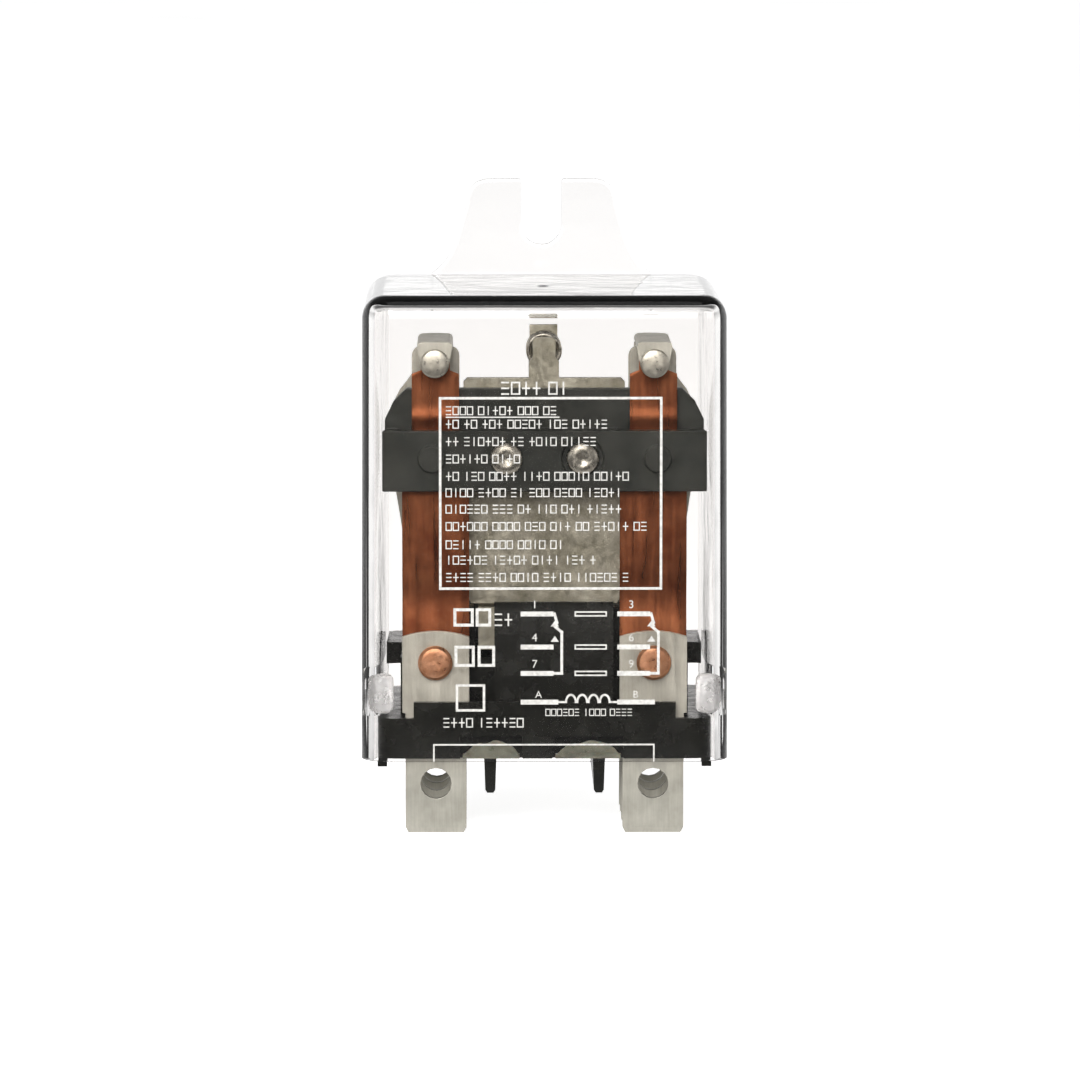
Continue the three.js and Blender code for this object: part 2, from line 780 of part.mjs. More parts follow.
function core() {
  const profile = [
    [0, CORE.face],
    [RING.inner - GAP, CORE.face],
    [RING.inner - GAP, CORE.face + RING.depth + GAP],
    [RING.outer + GAP, CORE.face + RING.depth + GAP],
    [RING.outer + GAP, CORE.face],
    [CORE.shoe, CORE.face],
    [CORE.shoe, CORE.shoeBack],
    [CORE.rod, CORE.shoeBack],
    [CORE.rod, YOKE.back - YOKE.thick - GAP],
    [CORE.tail, YOKE.back - YOKE.thick - GAP],
    [CORE.tail, YOKE.back + 0.5],
    [0, YOKE.back + 0.5],
  ];
  return turned(profile, 0, COIL_AXIS, 28);
}

function ringAround(inner, outer, front, back, segments = 28) {
  const profile = [
    [inner, front],
    [outer, front],
    [outer, back],
    [inner, back],
    [inner, front],
  ];
  return turned(profile, 0, COIL_AXIS, segments);
}

// One layer of the coil, between the bobbin's flanges.
function coilLayer(inner, outer, inset) {
  return ringAround(inner, outer, COIL.front + inset, COIL.back - inset, 32);
}

function bobbin() {
  const { front, back, flange, tube, bore, wall } = COIL;
  const profile = [
    [bore, front],
    [flange, front],
    [flange, front + wall],
    [tube, front + wall],
    [tube, back - wall],
    [flange, back - wall],
    [flange, back],
    [bore, back],
    [bore, front],
  ];
  return turned(profile, 0, COIL_AXIS, 32);
}

function springBracket() {
  const { half, foot, low, thick, tabFront, tabTop, rivetHeight, bore } = BRACKET;
  const back = YOKE.back - YOKE.thick - GAP / 2;
  const body = join(
    box(-half, half, tabFront, back, low, low + thick),
    box(-half, half, tabFront, tabFront + thick, low, tabTop),
    box(-half, half, back - thick, back, rivetHeight, low + thick),
    box(-foot, foot, back - thick, back, rivetHeight - 2.2, rivetHeight + 2.2),
  );
  return cut(body, pin(0, rivetHeight, bore, back - 2, back + 1));
}

function bracketRivet() {
  const back = YOKE.back + 0.1;
  const profile = [
    [0, COIL.back + 0.15],
    [0.9, COIL.back + 0.15],
    [0.9, back],
    [1.9, back],
    [1.6, back + 0.5],
    [0, back + 0.6],
  ];
  return turned(profile, 0, BRACKET.rivetHeight);
}

class Helix extends THREE.Curve {
  getPoint(t, target = new THREE.Vector3()) {
    const angle = 2 * Math.PI * SPRING.turns * t;
    const inset = SPRING.wire;
    const y = SPRING.front + inset + (SPRING.back - SPRING.front - 2 * inset) * t;
    return target.set(SPRING.radius * Math.cos(angle), y, SPRING.height + SPRING.radius * Math.sin(angle));
  }
}

function returnSpring() {
  return wireAlong(new Helix(), SPRING.wire, 14 * SPRING.turns, 6);
}

function coilLead(side) {
  const route = new THREE.CatmullRomCurve3([
    new THREE.Vector3(side * COLUMN, ROW_COIL + 0.85, 18.9),
    new THREE.Vector3(side * COLUMN, ROW_COIL + 1.3, 21),
    new THREE.Vector3(side * (COLUMN + 1), ROW_COIL + 2.6, 25),
    new THREE.Vector3(side * (COLUMN + 0.2), ROW_COIL + 4, 29.5),
    new THREE.Vector3(side * (COLUMN - 0.9), ROW_COIL + 5, 33.5),
  ]);
  return wireAlong(route, 0.35, 16, 8);
}

function frameScrew(side) {
  const profile = [
    [0, SCREW.headLow],
    [SCREW.head - 0.3, SCREW.headLow],
    [SCREW.head, SCREW.headLow + 0.4],
    [SCREW.head, SCREW.headHigh],
    [SCREW.shank, SCREW.headHigh],
    [SCREW.shank, YOKE.low + YOKE.thick - 0.2],
    [0, YOKE.low + YOKE.thick - 0.2],
  ];
  const points = profile.map(([r, z]) => new THREE.Vector2(r, z));
  const body = new THREE.LatheGeometry(points, 20).rotateX(Math.PI / 2);
  const slot = box(-3, 3, -0.35, 0.35, SCREW.headLow - 0.5, SCREW.headLow + 0.6);
  return cut(body, slot).translate(side * SCREW.x, SCREW.depth, 0);
}

// ---- assembly

const relay = new THREE.Group();
relay.name = "relay";
relay.position.set(0, -COVER_DEPTH, -COVER_TOP);

function add(name, geometry, look) {
  const mesh = new THREE.Mesh(geometry, new THREE.MeshStandardMaterial(LOOKS[look]));
  mesh.name = name;
  relay.add(mesh);
}

add("cover", cover(), "cover");
add("base", base(), "base");
add("armature", armature(), "steel");
add("carrier", carrier(), "carrier");
add("yoke", yoke(), "steel");
add("core", core(), "steel");
add("shading_ring", ringAround(RING.inner, RING.outer, CORE.face, CORE.face + RING.depth), "copper");
add("bobbin", bobbin(), "bobbin");
add("coil_winding", coilLayer(COIL.tube + GAP, COIL.winding, COIL.windingInset), "enamel");
add("coil_tape", coilLayer(COIL.winding + GAP, COIL.tape, COIL.tapeInset), "tape");
add("return_spring", returnSpring(), "springSteel");
add("spring_bracket", springBracket(), "steel");
add("bracket_rivet", bracketRivet(), "steel");
for (const [name, low, high] of SEAL) {
  add("base_sealant_" + name, sealant(low, high), "sealant");
}
for (const [name, side] of SIDES) {
  add("common_terminal_" + name, commonTerminal(side), "tin");
  add("no_terminal_" + name, noTerminal(side), "tin");
  add("nc_terminal_" + name, ncTerminal(side), "tin");
  add("coil_terminal_" + name, coilTerminal(side), "tin");
  add("moving_blade_" + name, movingBlade(side), "copper");
  add("blade_rivet_" + name, bladeRivet(side), "copper");
  add("moving_contact_" + name, movingContact(side), "silver");
  add("no_contact_" + name, noContact(side), "silver");
  add("nc_contact_" + name, ncContact(side), "silver");
  add("armature_rivet_" + name, armatureRivet(side), "springSteel");
  add("coil_lead_" + name, coilLead(side), "enamel");
  add("frame_screw_" + name, frameScrew(side), "springSteel");
}

export default relay;
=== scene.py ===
"""Looks for the plug-in relay: a clear moulded cover over the mechanism, on a pale floor in soft light.

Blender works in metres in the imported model's frame: x to the right, y into the mounting surface, z up.
The numbers here are millimetres: x from the middle plane, depth behind the cover's front face, and
height above the blade tips. at() turns them into a point of the frame.
"""

import math
import random

import bmesh
import bpy
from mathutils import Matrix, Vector


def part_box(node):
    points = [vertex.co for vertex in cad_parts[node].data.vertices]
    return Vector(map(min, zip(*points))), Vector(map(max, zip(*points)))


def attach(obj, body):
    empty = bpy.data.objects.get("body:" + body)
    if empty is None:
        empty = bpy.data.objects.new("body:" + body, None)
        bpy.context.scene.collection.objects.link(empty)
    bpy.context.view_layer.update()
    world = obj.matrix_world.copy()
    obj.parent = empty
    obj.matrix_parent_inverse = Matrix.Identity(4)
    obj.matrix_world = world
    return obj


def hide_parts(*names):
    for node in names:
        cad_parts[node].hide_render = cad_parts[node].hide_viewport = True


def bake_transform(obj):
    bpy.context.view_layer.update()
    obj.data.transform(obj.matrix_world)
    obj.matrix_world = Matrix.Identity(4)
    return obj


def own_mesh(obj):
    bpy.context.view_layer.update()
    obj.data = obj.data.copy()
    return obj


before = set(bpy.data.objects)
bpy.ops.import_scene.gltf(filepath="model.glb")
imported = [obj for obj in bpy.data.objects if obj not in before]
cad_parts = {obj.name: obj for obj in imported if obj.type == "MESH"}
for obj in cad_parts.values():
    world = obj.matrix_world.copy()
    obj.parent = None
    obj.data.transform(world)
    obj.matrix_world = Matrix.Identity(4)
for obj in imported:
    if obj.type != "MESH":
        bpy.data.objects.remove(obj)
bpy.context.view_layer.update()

MM = 0.001
BODY = "relay_body"
MOVING = "armature_assembly"
SIDES = (("left", -1), ("right", 1))
POLE_X = 11.3

COVER_LOW, COVER_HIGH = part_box("cover")
FRONT_Y = COVER_LOW[1]
RIM_Z = COVER_LOW[2]
TIP_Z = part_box("common_terminal_left")[0][2]

COVER_HALF = COVER_HIGH[0] / MM
COVER_DEPTH = (COVER_HIGH[1] - FRONT_Y) / MM
RIM = (RIM_Z - TIP_Z) / MM
COVER_TOP = -TIP_Z / MM
FLANGE_TOP = (COVER_HIGH[2] - TIP_Z) / MM


def at(x, depth, height):
    """A point of the frame in metres, from millimetres across, behind the front face and above the tips."""
    return Vector((x * MM, FRONT_Y + depth * MM, TIP_Z + height * MM))


def span(node):
    """A node's lowest and highest corner as (x, depth, height) in millimetres."""
    low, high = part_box(node)
    origin = Vector((0, FRONT_Y, TIP_Z))
    return tuple((Vector(low) - origin) / MM), tuple((Vector(high) - origin) / MM)


def middle(node):
    low, high = span(node)
    return tuple((a + b) / 2 for a, b in zip(low, high))


# ---------------------------------------------------------------- material building blocks


def new_material(name):
    material = bpy.data.materials.new(name)
    material.use_nodes = True
    tree = material.node_tree
    return material, tree, tree.nodes["Principled BSDF"]


def set_constants(shader, **values):
    for name, value in values.items():
        shader.inputs[name.replace("_", " ")].default_value = value


def coordinates(tree, stretch=(1, 1, 1)):
    """Object coordinates in millimetres, stretched along an axis where the grain runs."""
    source = tree.nodes.new("ShaderNodeTexCoord")
    mapping = tree.nodes.new("ShaderNodeMapping")
    mapping.inputs["Scale"].default_value = [s / MM for s in stretch]
    tree.links.new(source.outputs["Object"], mapping.inputs["Vector"])
    return mapping.outputs["Vector"]


def noise(tree, scale, detail=4.0, stretch=(1, 1, 1), roughness=0.55):
    node = tree.nodes.new("ShaderNodeTexNoise")
    node.inputs["Scale"].default_value = scale
    node.inputs["Detail"].default_value = detail
    node.inputs["Roughness"].default_value = roughness
    tree.links.new(coordinates(tree, stretch), node.inputs["Vector"])
    return node.outputs["Fac"]


def ramp(tree, factor, stops):
    """stops: (position, colour) pairs; a colour is a grey number or an (r, g, b)."""
    node = tree.nodes.new("ShaderNodeValToRGB")
    elements = node.color_ramp.elements
    while len(elements) < len(stops):
        elements.new(0.5)
    for element, (position, colour) in zip(elements, stops):
        element.position = position
        rgb = (colour,) * 3 if isinstance(colour, (int, float)) else colour
        element.color = (*rgb, 1)
    tree.links.new(factor, node.inputs["Fac"])
    return node.outputs["Color"]


def blend_colours(tree, factor, first, second, how="MIX"):
    node = tree.nodes.new("ShaderNodeMix")
    node.data_type = "RGBA"
    node.blend_type = how
    for socket, value in ((node.inputs[0], factor), (node.inputs[6], first), (node.inputs[7], second)):
        if hasattr(value, "links"):
            tree.links.new(value, socket)
        elif isinstance(value, tuple):
            socket.default_value = (*value, 1)
        else:
            socket.default_value = value
    return node.outputs[2]


def bump(tree, shader, height, strength, distance_mm, below=None):
    node = tree.nodes.new("ShaderNodeBump")
    node.inputs["Strength"].default_value = strength
    node.inputs["Distance"].default_value = distance_mm * MM
    tree.links.new(height, node.inputs["Height"])
    if below is not None:
        tree.links.new(below, node.inputs["Normal"])
    tree.links.new(node.outputs["Normal"], shader.inputs["Normal"])
    return node.outputs["Normal"]


def vary(tree, shader, socket, factor, stops):
    """Lets one value of the shader follow a ramp over factor."""
    tree.links.new(ramp(tree, factor, stops), shader.inputs[socket])


def map_range(tree, value, low, high):
    """Stretches value so that low becomes 0 and high becomes 1."""
    node = tree.nodes.new("ShaderNodeMapRange")
    node.inputs["From Min"].default_value = low
    node.inputs["From Max"].default_value = high
    tree.links.new(value, node.inputs["Value"])
    return node.outputs["Result"]


def above(tree, value, threshold):
    """1 where value is over the threshold and 0 elsewhere."""
    node = tree.nodes.new("ShaderNodeMath")
    node.operation = "GREATER_THAN"
    node.inputs[1].default_value = threshold
    tree.links.new(value, node.inputs[0])
    return node.outputs["Value"]


def ray(tree, kind):
    """What the Light Path node says about the ray, such as its Glossy Depth."""
    return tree.nodes.new("ShaderNodeLightPath").outputs[kind]


def split_axes(tree, vector):
    node = tree.nodes.new("ShaderNodeSeparateXYZ")
    tree.links.new(vector, node.inputs["Vector"])
    return node.outputs


def mix_surfaces(tree, factor, first, second):
    """Makes the material's surface first where factor is 0 and second where it is 1."""
    mix = tree.nodes.new("ShaderNodeMixShader")
    tree.links.new(factor, mix.inputs["Fac"])
    tree.links.new(first, mix.inputs[1])
    tree.links.new(second, mix.inputs[2])
    tree.links.new(mix.outputs["Shader"], tree.nodes["Material Output"].inputs["Surface"])


# ---------------------------------------------------------------- materials

POLYCARBONATE_IOR = 1.56
WAVE_SCALE = 0.3142

def clear_polycarbonate():
    """Clear moulded plastic with faint flow waves; rays from the lamps pass straight through it."""
    material, tree, shader = new_material("clear_polycarbonate")
    set_constants(shader, Transmission_Weight=1.0, IOR=POLYCARBONATE_IOR)
    set_constants(shader, Base_Color=(0.978, 0.966, 0.957, 1), Specular_Tint=(0.6, 0.6, 0.6, 1))
    vary(tree, shader, "Roughness", noise(tree, 0.35, 3), [(0.35, 0.012), (0.7, 0.05)])
    bump(tree, shader, noise(tree, 0.12, 2), 0.12, 0.4)
    clear = tree.nodes.new("ShaderNodeBsdfTransparent")
    clear.inputs["Color"].default_value = (0.93, 0.92, 0.91, 1)
    mix_surfaces(tree, ray(tree, "Is Shadow Ray"), shader.outputs["BSDF"], clear.outputs["BSDF"])
    return material


def frosted_polycarbonate():
    """The same plastic where the mould was left rough: it glows softly instead of showing what is behind."""
    material, tree, shader = new_material("frosted_polycarbonate")
    set_constants(shader, Transmission_Weight=0.75, IOR=POLYCARBONATE_IOR, Base_Color=(0.93, 0.92, 0.92, 1))
    vary(tree, shader, "Roughness", noise(tree, 0.9, 4), [(0.35, 0.1), (0.65, 0.6)])
    bump(tree, shader, noise(tree, 0.5, 3), 0.5, 0.5)
    return material


def moulded_plastic(name, dark, light, rough, grain=0.5):
    """Moulded plastic: a fine sandy grain, faint flow marks and a little dust."""
    material, tree, shader = new_material(name)
    set_constants(shader, Specular_IOR_Level=0.3)
    tone = ramp(tree, noise(tree, 0.25, 5), [(0.35, dark), (0.75, light)])
    dusty = ramp(tree, noise(tree, 2.2, 8), [(0.66, 0.0), (0.9, 0.25)])
    pale = tuple(min(1.0, c * 1.8 + 0.008) for c in light)
    tree.links.new(blend_colours(tree, dusty, tone, pale), shader.inputs["Base Color"])
    vary(tree, shader, "Roughness", noise(tree, 0.6, 4), [(0.3, rough - 0.08), (0.7, rough + 0.08)])
    fine = bump(tree, shader, noise(tree, 9.0, 3), grain * 0.25, 0.02)
    bump(tree, shader, noise(tree, 0.5, 2), 0.15, 0.08, below=fine)
    return material


def metal(name, dark, light, rough, rolled=False, blotch=0.35, scratch=0.35, dents=0.25, bare=1.0):
    """Metal with stains and hair scratches, drawn out upwards if rolled. bare: how metallic it looks."""
    material, tree, shader = new_material(name)
    set_constants(shader, Metallic=bare)
    stretch = (1, 1, 0.06) if rolled else (1, 1, 1)
    tone = ramp(tree, noise(tree, blotch, 6), [(0.32, dark), (0.68, light)])
    lines = ramp(tree, noise(tree, 5.0, 3, stretch), [(0.3, 0.72), (0.7, 1.0)])
    tree.links.new(blend_colours(tree, 0.5, tone, lines, "MULTIPLY"), shader.inputs["Base Color"])
    vary(tree, shader, "Roughness", noise(tree, 1.6, 6, stretch), [(0.3, rough - 0.1), (0.75, rough + 0.12)])
    fine = bump(tree, shader, noise(tree, 7.0, 4, stretch), scratch, 0.006)
    bump(tree, shader, noise(tree, 0.3, 3), dents, 0.1, below=fine)
    return material


def enamelled_wire(name, pitch, axis):
    """Wound magnet wire: one ridge to a turn under red-brown enamel. pitch: millimetres to a turn."""
    material, tree, shader = new_material(name)
    set_constants(shader, Metallic=0.75, Coat_Weight=0.6, Coat_Roughness=0.12)
    wave = tree.nodes.new("ShaderNodeTexWave")
    wave.bands_direction = axis
    wave.inputs["Scale"].default_value = WAVE_SCALE / pitch
    wave.inputs["Distortion"].default_value = 0.35
    wave.inputs["Detail"].default_value = 1.0
    tree.links.new(coordinates(tree), wave.inputs["Vector"])
    dark, light = (0.16, 0.035, 0.012), (0.62, 0.22, 0.08)
    vary(tree, shader, "Base Color", wave.outputs["Fac"], [(0.1, dark), (0.8, light)])
    vary(tree, shader, "Roughness", noise(tree, 1.0, 3), [(0.3, 0.25), (0.7, 0.4)])
    bump(tree, shader, wave.outputs["Fac"], 0.8, 0.06)
    return material


def polyester_tape():
    """Amber tape wound over the coil, with the wire showing through as fine lines."""
    material, tree, shader = new_material("polyester_tape")
    set_constants(shader, Coat_Weight=0.8, Coat_Roughness=0.08, Transmission_Weight=0.15)
    tone = ramp(tree, noise(tree, 0.3, 4), [(0.3, (0.42, 0.24, 0.045)), (0.7, (0.66, 0.43, 0.11))])
    lines = ramp(tree, noise(tree, 3.0, 2, (0.05, 1, 0.05)), [(0.35, 0.75), (0.65, 1.0)])
    tree.links.new(blend_colours(tree, 0.6, tone, lines, "MULTIPLY"), shader.inputs["Base Color"])
    vary(tree, shader, "Roughness", noise(tree, 1.2, 3), [(0.3, 0.22), (0.7, 0.4)])
    bump(tree, shader, noise(tree, 0.5, 3, (1, 0.3, 1)), 0.35, 0.12)
    return material


def epoxy_sealant():
    """Olive-grey sealing compound, slightly translucent and pitted."""
    material, tree, shader = new_material("epoxy_sealant")
    set_constants(shader, Subsurface_Weight=0.3, Subsurface_Scale=0.5 * MM)
    dark, light = (0.05, 0.05, 0.035), (0.12, 0.12, 0.088)
    vary(tree, shader, "Base Color", noise(tree, 0.7, 5), [(0.3, dark), (0.7, light)])
    vary(tree, shader, "Roughness", noise(tree, 1.5, 3), [(0.3, 0.25), (0.7, 0.5)])
    bump(tree, shader, noise(tree, 1.8, 4), 0.4, 0.08)
    return material


def printing_ink():
    """Pale pad-printed ink, a little thin in places."""
    material, tree, shader = new_material("printing_ink")
    thin, full = (0.42, 0.41, 0.39), (0.62, 0.61, 0.58)
    vary(tree, shader, "Base Color", noise(tree, 3.0, 5), [(0.3, thin), (0.6, full)])
    vary(tree, shader, "Roughness", noise(tree, 4.0, 3), [(0.3, 0.45), (0.7, 0.65)])
    bump(tree, shader, noise(tree, 8.0, 2), 0.2, 0.01)
    return material


# ---------------------------------------------------------------- mesh building blocks

SAME_POINT = 1e-7
CAD_SAME_POINT = 2e-6
CAD_FLAT_DEGREES = 0.5
FLAT_WEIGHT = 90

def new_object(name, data):
    obj = bpy.data.objects.new(name, data)
    bpy.context.collection.objects.link(obj)
    return obj


def object_from(name, vertices, faces):
    mesh = bpy.data.meshes.new(name)
    mesh.from_pydata([tuple(v) for v in vertices], [], faces)
    mesh.validate()
    cleaned = bmesh.new()
    cleaned.from_mesh(mesh)
    bmesh.ops.recalc_face_normals(cleaned, faces=cleaned.faces)
    cleaned.to_mesh(mesh)
    cleaned.free()
    return new_object(name, mesh)


def smooth(obj):
    for polygon in obj.data.polygons:
        polygon.use_smooth = True


def bevel(obj, width_mm, segments, degrees):
    edge = obj.modifiers.new("edges", "BEVEL")
    edge.width = width_mm * MM
    edge.segments = segments
    edge.limit_method = "ANGLE"
    edge.angle_limit = math.radians(degrees)


def soften(obj, width_mm, segments=2, degrees=28, from_cad=False):
    """Rounds the edges a little and lets the flat faces keep their normals.

    from_cad: first joins the loose triangles of a CAD node and makes each flat face whole.
    """
    if from_cad:
        join = obj.modifiers.new("weld", "WELD")
        join.merge_threshold = CAD_SAME_POINT
        flat = obj.modifiers.new("flat", "DECIMATE")
        flat.decimate_type = "DISSOLVE"
        flat.angle_limit = math.radians(CAD_FLAT_DEGREES)
    bevel(obj, width_mm, segments, degrees)
    keep_flat_normals(obj)


def keep_flat_normals(obj):
    obj.modifiers.new("normals", "WEIGHTED_NORMAL").weight = FLAT_WEIGHT


def applied(obj):
    """The object's mesh with its modifiers applied, as its own mesh."""
    bpy.context.view_layer.update()
    evaluated = obj.evaluated_get(bpy.context.evaluated_depsgraph_get())
    mesh = bpy.data.meshes.new_from_object(evaluated)
    obj.modifiers.clear()
    obj.data = mesh
    return obj


def boolean(obj, other, operation):
    """Joins or cuts obj with other, which is used up."""
    step = obj.modifiers.new(operation.lower(), "BOOLEAN")
    step.operation = operation
    step.solver = "EXACT"
    step.object = other
    applied(obj)
    bpy.data.objects.remove(other)
    return obj


def extruded(name, outline, front, back):
    """A plate from an outline of (x, height) points, between two depths."""
    count = len(outline)
    vertices = [at(x, front, z) for x, z in outline] + [at(x, back, z) for x, z in outline]
    faces = [list(range(count)), list(range(2 * count - 1, count - 1, -1))]
    faces += [[i, i + count, (i + 1) % count + count, (i + 1) % count] for i in range(count)]
    return object_from(name, vertices, faces)


def block(name, low, high):
    (x0, y0, z0), (x1, y1, z1) = low, high
    return extruded(name, [(x0, z0), (x1, z0), (x1, z1), (x0, z1)], y0, y1)


def turned(name, centre, profile, segments=64, upright=False):
    """A turned piece from (radius, distance) pairs.

    Its axis runs along the depth or, upright, along the height. A closed profile makes a ring.
    """
    cx, cy, cz = centre
    vertices, rings = [], []
    for radius, along in profile:
        ring = []
        for i in range(segments if radius > 0 else 1):
            angle = 2 * math.pi * i / segments
            a, b = radius * math.cos(angle), radius * math.sin(angle)
            ring.append(len(vertices))
            vertices.append(at(cx + a, cy + b, along) if upright else at(cx + a, along, cz + b))
        rings.append(ring)
    faces = []
    for first, second in zip(rings, rings[1:]):
        for i in range(segments):
            j = (i + 1) % segments
            corners = ((first, i), (first, j), (second, j), (second, i))
            loop = [ring[place % len(ring)] for ring, place in corners]
            faces.append(list(dict.fromkeys(loop)))
    obj = object_from(name, vertices, faces)
    if profile[0] == profile[-1]:
        weld(obj)
    smooth(obj)
    return obj


def tube(name, height, inner, outer, start, end, segments):
    """A turned tube about the magnet's axis, which is at this height."""
    profile = [(inner, start), (outer, start), (outer, end), (inner, end), (inner, start)]
    return turned(name, (0, 0, height), profile, segments)


def sheet(name, vertices, rows, columns):
    """A closed sheet from two layers of (rows + 1) x (columns + 1) points, front layer first."""
    layer = (rows + 1) * (columns + 1)
    faces = []
    for i in range(rows):
        for j in range(columns):
            a = i * (columns + 1) + j
            b = a + columns + 1
            faces.append([a, a + 1, b + 1, b])
            faces.append([layer + b, layer + b + 1, layer + a + 1, layer + a])
    rim = list(range(columns + 1))
    rim += [i * (columns + 1) + columns for i in range(1, rows + 1)]
    rim += [rows * (columns + 1) + j for j in reversed(range(columns))]
    rim += [i * (columns + 1) for i in reversed(range(1, rows))]
    for a, b in zip(rim, rim[1:] + rim[:1]):
        faces.append([a, b, layer + b, layer + a])
    return object_from(name, vertices, faces)


def weld(obj):
    mesh = bmesh.new()
    mesh.from_mesh(obj.data)
    bmesh.ops.remove_doubles(mesh, verts=mesh.verts, dist=SAME_POINT)
    bmesh.ops.recalc_face_normals(mesh, faces=mesh.faces)
    mesh.to_mesh(obj.data)
    mesh.free()


def wire(name, points, radius_mm):
    """A round wire along a list of frame points, with closed ends, as a mesh."""
    curve = bpy.data.curves.new(name, "CURVE")
    curve.dimensions = "3D"
    curve.bevel_depth = radius_mm * MM
    curve.bevel_resolution = 3
    curve.use_fill_caps = True
    spline = curve.splines.new("POLY")
    spline.points.add(len(points) - 1)
    for point, place in zip(spline.points, points):
        point.co = (*place, 1)
    source = new_object(name, curve)
    bpy.context.view_layer.update()
    mesh = bpy.data.meshes.new_from_object(source)
    bpy.data.objects.remove(source)
    obj = new_object(name, mesh)
    weld(obj)
    smooth(obj)
    return obj


def dress(obj, material, body=BODY, replaces=()):
    """Gives a piece its material and ties it to the frame."""
    obj.data.materials.clear()
    obj.data.materials.append(material)
    if body is not None:
        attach(obj, body)
    if replaces:
        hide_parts(*replaces)
    return obj


def paint(node, material):
    """Puts a material on a CAD node's own object."""
    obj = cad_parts[node]
    for place in obj.material_slots:
        place.link = "OBJECT"
        place.material = material
    return obj


# ---------------------------------------------------------------- cover

WALL = 1.3
CORNER = 3.4
CORNER_STEPS = 10
LEAST_CORNER = 0.25
TOP_ROUND = 2.4
INNER_TOP_ROUND = 0.7
SHOULDER_STEPS = 8
DRAFT = 0.18
PRINT_SKIN = 0.04
FLANGE_THICK = 1.8
FLANGE_HALF = 8.0
FLANGE_LEAN = 0.9
FLANGE_SIDE = 5.6
FLANGE_ROOT_HALF = 12.0
FLANGE_ROOT_DEPTH = 4
FLANGE_CORNER = 2.6
SLOT_HALF = 2.175
SLOT_DEPTH = 7.1
SLOT_STEPS = 24
GATE_BEHIND_FRONT = 16
WINDOW_LENGTH = 5
WINDOW_LOW, WINDOW_HIGH = 12.4, 17.5
CATCH_INNER, CATCH_OUTER = 15.7, 17.7
CATCH_LOW, CATCH_HIGH = 12.8, 16.9
CATCH_GAP = 0.05
CATCH_BACK = 2.2


def rounded_ring(inset, height, radius):
    """The points of the cover's rounded plan outline, moved in by inset, at one height."""
    lean = 1 - DRAFT * (height - RIM) / (COVER_TOP - RIM) / COVER_HALF
    x1, y0, y1 = COVER_HALF - inset, PRINT_SKIN + inset, COVER_DEPTH - inset
    centres = (
        (x1 - radius, y0 + radius, -90),
        (x1 - radius, y1 - radius, 0),
        (-x1 + radius, y1 - radius, 90),
        (-x1 + radius, y0 + radius, 180),
    )
    points = []
    for cx, cy, start in centres:
        for i in range(CORNER_STEPS + 1):
            angle = math.radians(start + 90 * i / CORNER_STEPS)
            x = cx + radius * math.cos(angle)
            points.append(at(x * lean, cy + radius * math.sin(angle), height))
    return points


def shell_rings(inset, top, round_radius, corner):
    """Rings up one skin of the cover: straight sides, then the rounded shoulder."""
    rings = [rounded_ring(inset, RIM, corner)]
    for i in range(SHOULDER_STEPS + 1):
        angle = math.radians(90 * i / SHOULDER_STEPS)
        step_in = round_radius * (1 - math.cos(angle))
        height = top - round_radius + round_radius * math.sin(angle)
        rings.append(rounded_ring(inset + step_in, height, max(corner - step_in, LEAST_CORNER)))
    return rings


def cover_shell():
    outer = shell_rings(0, COVER_TOP, TOP_ROUND, CORNER)
    inner = shell_rings(WALL, COVER_TOP - WALL, INNER_TOP_ROUND, CORNER - WALL)
    count = len(outer[0])
    vertices = [p for ring in outer + inner for p in ring]
    faces = []
    for start in (0, len(outer)):
        for level in range(start, start + len(outer) - 1):
            a, b = level * count, (level + 1) * count
            faces += [[a + i, a + (i + 1) % count, b + (i + 1) % count, b + i] for i in range(count)]
    top, inner_top = (len(outer) - 1) * count, (2 * len(outer) - 1) * count
    faces.append([top + i for i in range(count)])
    faces.append([inner_top + i for i in reversed(range(count))])
    low = len(outer) * count
    faces += [[i, (i + 1) % count, low + (i + 1) % count, low + i] for i in range(count)]
    return object_from("cover_moulding", vertices, faces)


def curve_points(p0, p1, p2, steps):
    """Points on a quadratic curve, without its first point."""
    result = []
    for i in range(1, steps + 1):
        t = i / steps
        a, b, c = (1 - t) ** 2, 2 * t * (1 - t), t * t
        result.append((a * p0[0] + b * p1[0] + c * p2[0], a * p0[1] + b * p1[1] + c * p2[1]))
    return result


def flange_outline():
    """The flange's (x, height) outline: a flared root, leaning sides, rounded corners and an open slot."""
    top = FLANGE_TOP
    root = (FLANGE_ROOT_HALF, COVER_TOP)
    shoulder = (FLANGE_HALF, top - FLANGE_CORNER)
    flare = (FLANGE_HALF + 2 * FLANGE_LEAN, COVER_TOP + 1.3)
    right = [(FLANGE_ROOT_HALF, COVER_TOP - FLANGE_ROOT_DEPTH), root]
    right += curve_points(root, flare, (FLANGE_HALF + FLANGE_LEAN, top - FLANGE_SIDE), 14)
    right.append(shoulder)
    right += curve_points(shoulder, (FLANGE_HALF, top), (FLANGE_HALF - FLANGE_CORNER, top), 10)
    right.append((SLOT_HALF, top))
    floor = top - SLOT_DEPTH + SLOT_HALF
    slot = []
    for i in range(SLOT_STEPS + 1):
        angle = -math.pi * i / SLOT_STEPS
        slot.append((SLOT_HALF * math.cos(angle), floor + SLOT_HALF * math.sin(angle)))
    left = [(-x, z) for x, z in reversed(right)]
    return right + slot + left


def gate_mark():
    """The low round stub where the mould's gate was."""
    foot, radius = COVER_TOP - 0.3, 0.8
    profile = [(0, foot), (radius, foot), (radius, COVER_TOP), (0.5, COVER_TOP + 0.08), (0, COVER_TOP + 0.1)]
    return turned("gate", (0, GATE_BEHIND_FRONT, 0), profile, 32, upright=True)


